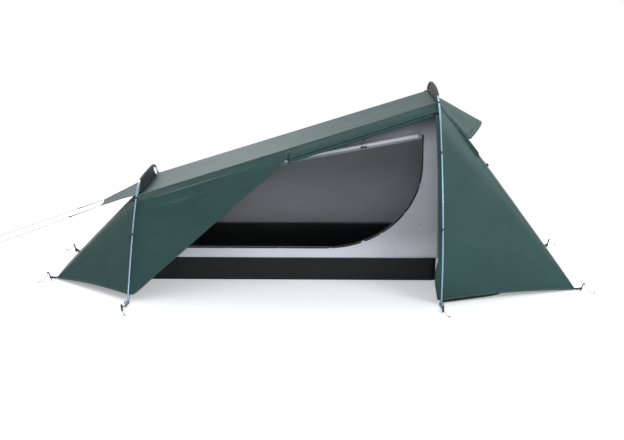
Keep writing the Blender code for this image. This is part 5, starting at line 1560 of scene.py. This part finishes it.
def inner_folds(grid):
    """Depth of the front wall's folds at each point: a swelling near the foot end, then for each
    tension line a fold and a lower one the other way beside it, and nothing at the wall's lower and upper
    edges."""
    x, z = grid[..., 0], grid[..., 2]
    depth = 0.0045 * np.exp(-((x + 1.0) / 0.25)**2) * np.exp(-((z - 0.25) / 0.12)**2)
    for (x0, z0), (x1, z1), height in PULLS:
        depth = depth - pull(grid, np.array([x0, 0, z0]), np.array([x1, 0, z1]), height, 0.006, 0.022)
        shadow = np.array([x0 + 0.012, 0, z0 - 0.02]), np.array([x1 - 0.02, 0, z1 - 0.01])
        depth = depth + pull(grid, *shadow, height * 0.7, 0.006, 0.02)
    fade = step(z, base, base + 0.02) * (1 - step(z, roof_line(x) - 0.02, roof_line(x)))
    return (depth + ripple(grid, 41, 0.09, 0.0006)) * fade


folded = []
for grid in blocks:
    moved = grid.copy()
    moved[..., 1] = INNER_FRONT + inner_folds(grid)
    folded.append(moved)
inner_front = put("inner_front_cloth", [quads(grid) for grid in folded], inner_near_painted_shade,
                  instead=["inner_wall_front_head", "inner_wall_front_foot"], wall=INNER_WALL)
sill = np.array([(door_foot, foot_top), (door_foot, 0.34), (door_foot, SILL),
                 *((x, float(under_opening(x))) for x in x_open[1:]),
                 (door_head, 0.78), (door_head, head_top)])
edge_line = flattened(evenly(sill, 200), -0.3027)
put("inner_door_binding", [carried(edge_line, oblong(0.005, 0.0012), (0, 1, 0))], inner_binding)
upper = flattened(evenly(np.array(OPENING_TOP), 100), -0.3027)
put("inner_door_top_binding", [carried(upper, oblong(0.006, 0.0010), (0, 1, 0))], inner_binding)
print("opening's edge", round(length_of(edge_line) + length_of(upper), 3), "m")

# %% Back wall, head wall and roof of the inner tent
def ruled(low, high, rows, columns):
    """Points of the surface between two lines, each spaced evenly by length."""
    a, b = evenly(np.asarray(low, float), columns), evenly(np.asarray(high, float), columns)
    return between(a, b, evens(rows)[:, None, None])


KNEE, ROOF_HEAD, ROOF_BACK = -1.024, 0.742, 0.27
roof_z, knee_z = float(inner_roof_z(0.712)), float(inner_roof_z(KNEE))
foot_front, foot_back = (FOOT_END, INNER_FRONT, TRAY_H), (FOOT_END, CUT_Y, TRAY_H)
cut_back = (CUT_X, INNER_BACK, TRAY_H)
head_front, head_back = [(INNER_HEAD, y, TRAY_H) for y in (INNER_FRONT, INNER_BACK)]
knee_front, knee_back = [(KNEE, y, knee_z) for y in (INNER_FRONT, ROOF_BACK)]
top_front, top_back = [(ROOF_HEAD, y, roof_z) for y in (INNER_FRONT, ROOF_BACK)]
# Each cloth's lower and upper line, its rows and columns, and the CAD nodes that it stands for.
inner_cloths = {
    "inner_back_foot_cloth": ((foot_back, cut_back), ((-1.357, 0.3175, 0.153), knee_back), 30, 24, []),
    "inner_back_cloth": ((cut_back, head_back), (knee_back, top_back), 40, 90, ["inner_wall_back"]),
    "inner_head_cloth": ((head_front, head_back), (top_front, top_back), 44, 44, ["inner_wall_head"]),
    "inner_roof_cloth": ((knee_front, top_front), (knee_back, top_back), 30, 90, ["inner_roof"]),
    "inner_foot_cloth": ((foot_front, knee_front), (foot_back, knee_back), 34, 26, []),
}
middle = np.array([-0.2, 0.12, 0.45])
inner_made, inner_grids = {}, {}
for seed, (name, (low, high, rows, columns, nodes)) in enumerate(inner_cloths.items()):
    grid = ruled(low, high, rows, columns)
    facing_in = np.sign(np.einsum("ijk,ijk->ij", normals(grid), middle - grid).mean())
    sink = 0.014 * swell(rows, 0.8)[:, None] * swell(columns, 0.8)[None, :]
    for ends in (((0.02, 0.02), (0.5, 0.4)), ((0.98, 0.03), (0.4, 0.5)), ((0.98, 0.97), (0.4, 0.6)),
                 ((0.02, 0.97), (0.6, 0.6))):
        sink += pull(grid, *picked(grid, ends), 0.006, 0.01, 0.04)
    sink = (sink + ripple(grid, 50 + seed, 0.13, 0.0011)) * pinned(rows, columns, 0.05)
    inner_grids[name] = shaped(grid, facing_in * sink)
    inner_made[name] = put(name, [quads(inner_grids[name])], inner_far_painted_shade, instead=nodes,
                           wall=INNER_WALL)
print("inner tent", {name: round(panel_area(grid), 3) for name, grid in inner_grids.items()})

# %% The elastics that hang the inner tent
posts = []
for x in (-0.974, 0.682):
    for y in (-0.252, 0.24):
        high, low = roof_edge(x)[2] - 0.0015, float(inner_roof_z(x)) - 0.002
        post = np.stack([np.full(12, x), np.full(12, y), np.linspace(low, high, 12)], axis=1)
        posts.append(carried(post, circle(0.0014, 10), (1, 0, 0)))
put("inner_hangers", posts, shock_braid)
print(len(posts), "elastics, the last", round(1000 * float(high - low)), "mm long")

# %% Vent cord and bead
# Three points of the cord: their share of the way down the head end's corner, and their height over it.
head_corner = (CORNERS["head"][0], -CORNERS["head"][1], CORNER_Z)
points = [between(roof_corner(HEAD, -1), head_corner, share) + (0, 0.01, 0) + RAISED * lift
          for share, lift in ((0.295, 0.0036), (0.315, 0.0100), (0.338, 0.0150))]
vent_line = smooth(np.array(points), 24)
run = np.linspace(-0.009, 0.009, 21)[:, None]
bead_way = unit(vent_line[-1] - vent_line[-2])
bead = carried(vent_line[-1] + bead_way * (0.006 + run), circle(1.0, 20), (0, 1, 0),
               size=0.0062 * np.sqrt(np.clip(1 - (np.abs(run[:, 0]) / 0.0093)**6, 0.02, 1)))
vent_bead = put("vent_bead", [bead], black_acetal)
vent_pull = put("vent_pull_cord", [carried(vent_line, circle(0.001, 10), (0, 1, 0))], guy_braid,
                instead=["vent_cord"])
print("vent cord", round(length_of(vent_line) * 1000), "mm")

# %% [markdown]
# ## The sheets' sizes
# Each sheet's rectangle that its pattern piece is cut from, and its real flat area, are printed. The
# rectangle is the panel's longest and widest extent measured along the cloth.

# %% Sheets
LEAST_SHARE = 0.302


def across_cloth(grid):
    """The greatest length along a grid's rows and along its columns, in metres."""
    wide = np.linalg.norm(np.diff(grid, axis=1), axis=2).sum(axis=1).max()
    tall = np.linalg.norm(np.diff(grid, axis=0), axis=2).sum(axis=0).max()
    return float(wide), float(tall)


def smallest_rectangle(*grids):
    """Sides of the smallest rectangle round the points of nearly flat grids: they are laid on their own best
    plane, turned by each angle up to a right angle, and the least width times height is kept."""
    points = np.concatenate([grid.reshape(-1, 3) for grid in grids])
    flat = points - points.mean(axis=0)
    flat = flat @ np.linalg.svd(flat, full_matrices=False)[2][:2].T
    turn = np.radians(np.arange(0, 90, 1.0))
    a = np.ptp(flat @ np.stack([np.cos(turn), np.sin(turn)]), axis=0)
    b = np.ptp(flat @ np.stack([-np.sin(turn), np.cos(turn)]), axis=0)
    best = int(np.argmin(a * b))
    return float(a[best]), float(b[best])


def cut(piece, area, size):
    """Prints a sheet's width and length and its area, which is never under 0.302 of its rectangle."""
    wide, tall = size
    area = float(np.clip(area, LEAST_SHARE * wide * tall, wide * tall))
    print(f"{piece.name} cut from {wide:.3f} x {tall:.3f} m, area {area:.3f} m2")


cut(fly_front, panel_area(front, present), smallest_rectangle(panel, front[CORNER_ROW:, PANEL:]))
head_area = panel_area(head_sheet, head_cells) + panel_area(jamb[kept])
for piece, grid, area, sewn_on in (
        (fly_back, back, panel_area(back), [seams["back_seams"]]),
        (fly_top, top, panel_area(top), [seams["top_seams"]]),
        (fly_foot, foot_sheet, panel_area(foot_sheet), [seams["foot_end_seams"]]),
        (fly_head, head_sheet, head_area, [seams["head_end_seams"]]),
        (vent_net, vent, panel_area(vent), [vent_binding]),
        (fly_awning, awning, panel_area(awning), [seams["awning_seams"]]),
        (fly_hood, hood, panel_area(hood), [seams["hood_seams"], hood_edge])):
    cut(piece, area, across_cloth(grid))
gusset_area = sum(panel_area(g) for g in gussets)
cut(hood_gussets, gusset_area, (0.5, gusset_area / 0.5 / 0.7))
for crest, area, size in crests.values():
    cut(crest, area, size)
cut(inner_front, front_area, smallest_rectangle(*blocks))
for name, grid in inner_grids.items():
    cut(inner_made[name], panel_area(grid), across_cloth(grid))
cut(tray, panel_area(tub_round), (2.118 + 2 * TRAY_H, 0.9 + 2 * TRAY_H))
for roll, wound in ((outer_roll, outer_wound), (inner_roll, inner_wound)):
    cut(roll, panel_area(wound), across_cloth(wound))

# %% [markdown]
# ## Light and floor
# The photograph is a cut-out on pure white with soft light from above and in front. A white floor takes only
# a faint shadow, the camera sees white behind, and four large soft lamps, two behind and two in front, give
# the roof more light than the front, as it has in the photograph.

# %% Floor and world
floor_mesh = bpy.data.meshes.new("studio_floor")
floor_mesh.from_pydata([(-30, -30, 0), (30, -30, 0), (30, 30, 0), (-30, 30, 0)], [], [(0, 1, 2, 3)])
floor_piece = bpy.data.objects.new("studio_floor", floor_mesh)
scene.collection.objects.link(floor_piece)
floor_finish, floor_tree, floor_shader = blank("pale_studio_floor", 0.9)
camera_ray = node(floor_tree, "LightPath").outputs["Is Camera Ray"]
glow = node(floor_tree, "Math", {0: camera_ray, 1: 0.3}, operation="MULTIPLY")
# It fades out where the camera's white room takes over, so no horizon shows.
from_middle = node(floor_tree, "TexCoord").outputs["Object"]
far = node(floor_tree, "VectorMath", {0: from_middle}, operation="LENGTH").outputs["Value"]
fade = node(floor_tree, "MapRange", {0: far}, From_Min=2.4, From_Max=4.0, To_Min=1.0, To_Max=0.0)
fill(floor_tree, floor_shader, {"Base Color": "#f4f4f4", "Emission Color": (1, 1, 1, 1),
                                "Emission Strength": glow, "Alpha": fade})
floor_mesh.materials.append(floor_finish)

world = bpy.data.worlds.new("white_room")
scene.world = world
world.use_nodes = True
room = world.node_tree
room.nodes.clear()
seen = node(room, "Background", Color=(1, 1, 1, 1), Strength=1.0)
lit = node(room, "Background", Color=(0.93, 0.96, 1.0, 1), Strength=0.75)
both = node(room, "MixShader", {0: node(room, "LightPath").outputs["Is Camera Ray"], 1: lit, 2: seen})
node(room, "OutputWorld", {0: both})
print("world", world.name, "with", len(room.nodes), "nodes")

# %% Lamps


def soft_lamp(name, place, aim, size, power, colour=(1, 1, 1)):
    """A square area lamp that faces a point."""
    light = bpy.data.lights.new(name, "AREA")
    light.shape = "SQUARE"
    light.size = size
    light.energy = power
    light.color = colour
    lamp = bpy.data.objects.new(name, light)
    lamp.location = place
    lamp.rotation_euler = (Vector(aim) - Vector(place)).to_track_quat("-Z", "Y").to_euler()
    scene.collection.objects.link(lamp)
    return lamp


soft_lamp("high_behind", (-2.1, 3.2, 3.3), (-0.2, 0.1, 0.5), 3.0, 80)
soft_lamp("right_behind", (3.4, 1.4, 3.2), (0.9, 0, 0.8), 1.8, 35)
soft_lamp("front_middle", (-0.3, -7.4, 0.8), (0, -0.2, 0.4), 2.4, 50)
soft_lamp("front_right", (4.0, -4.2, 3.7), (0.1, -0.1, 0.4), 2.4, 120)
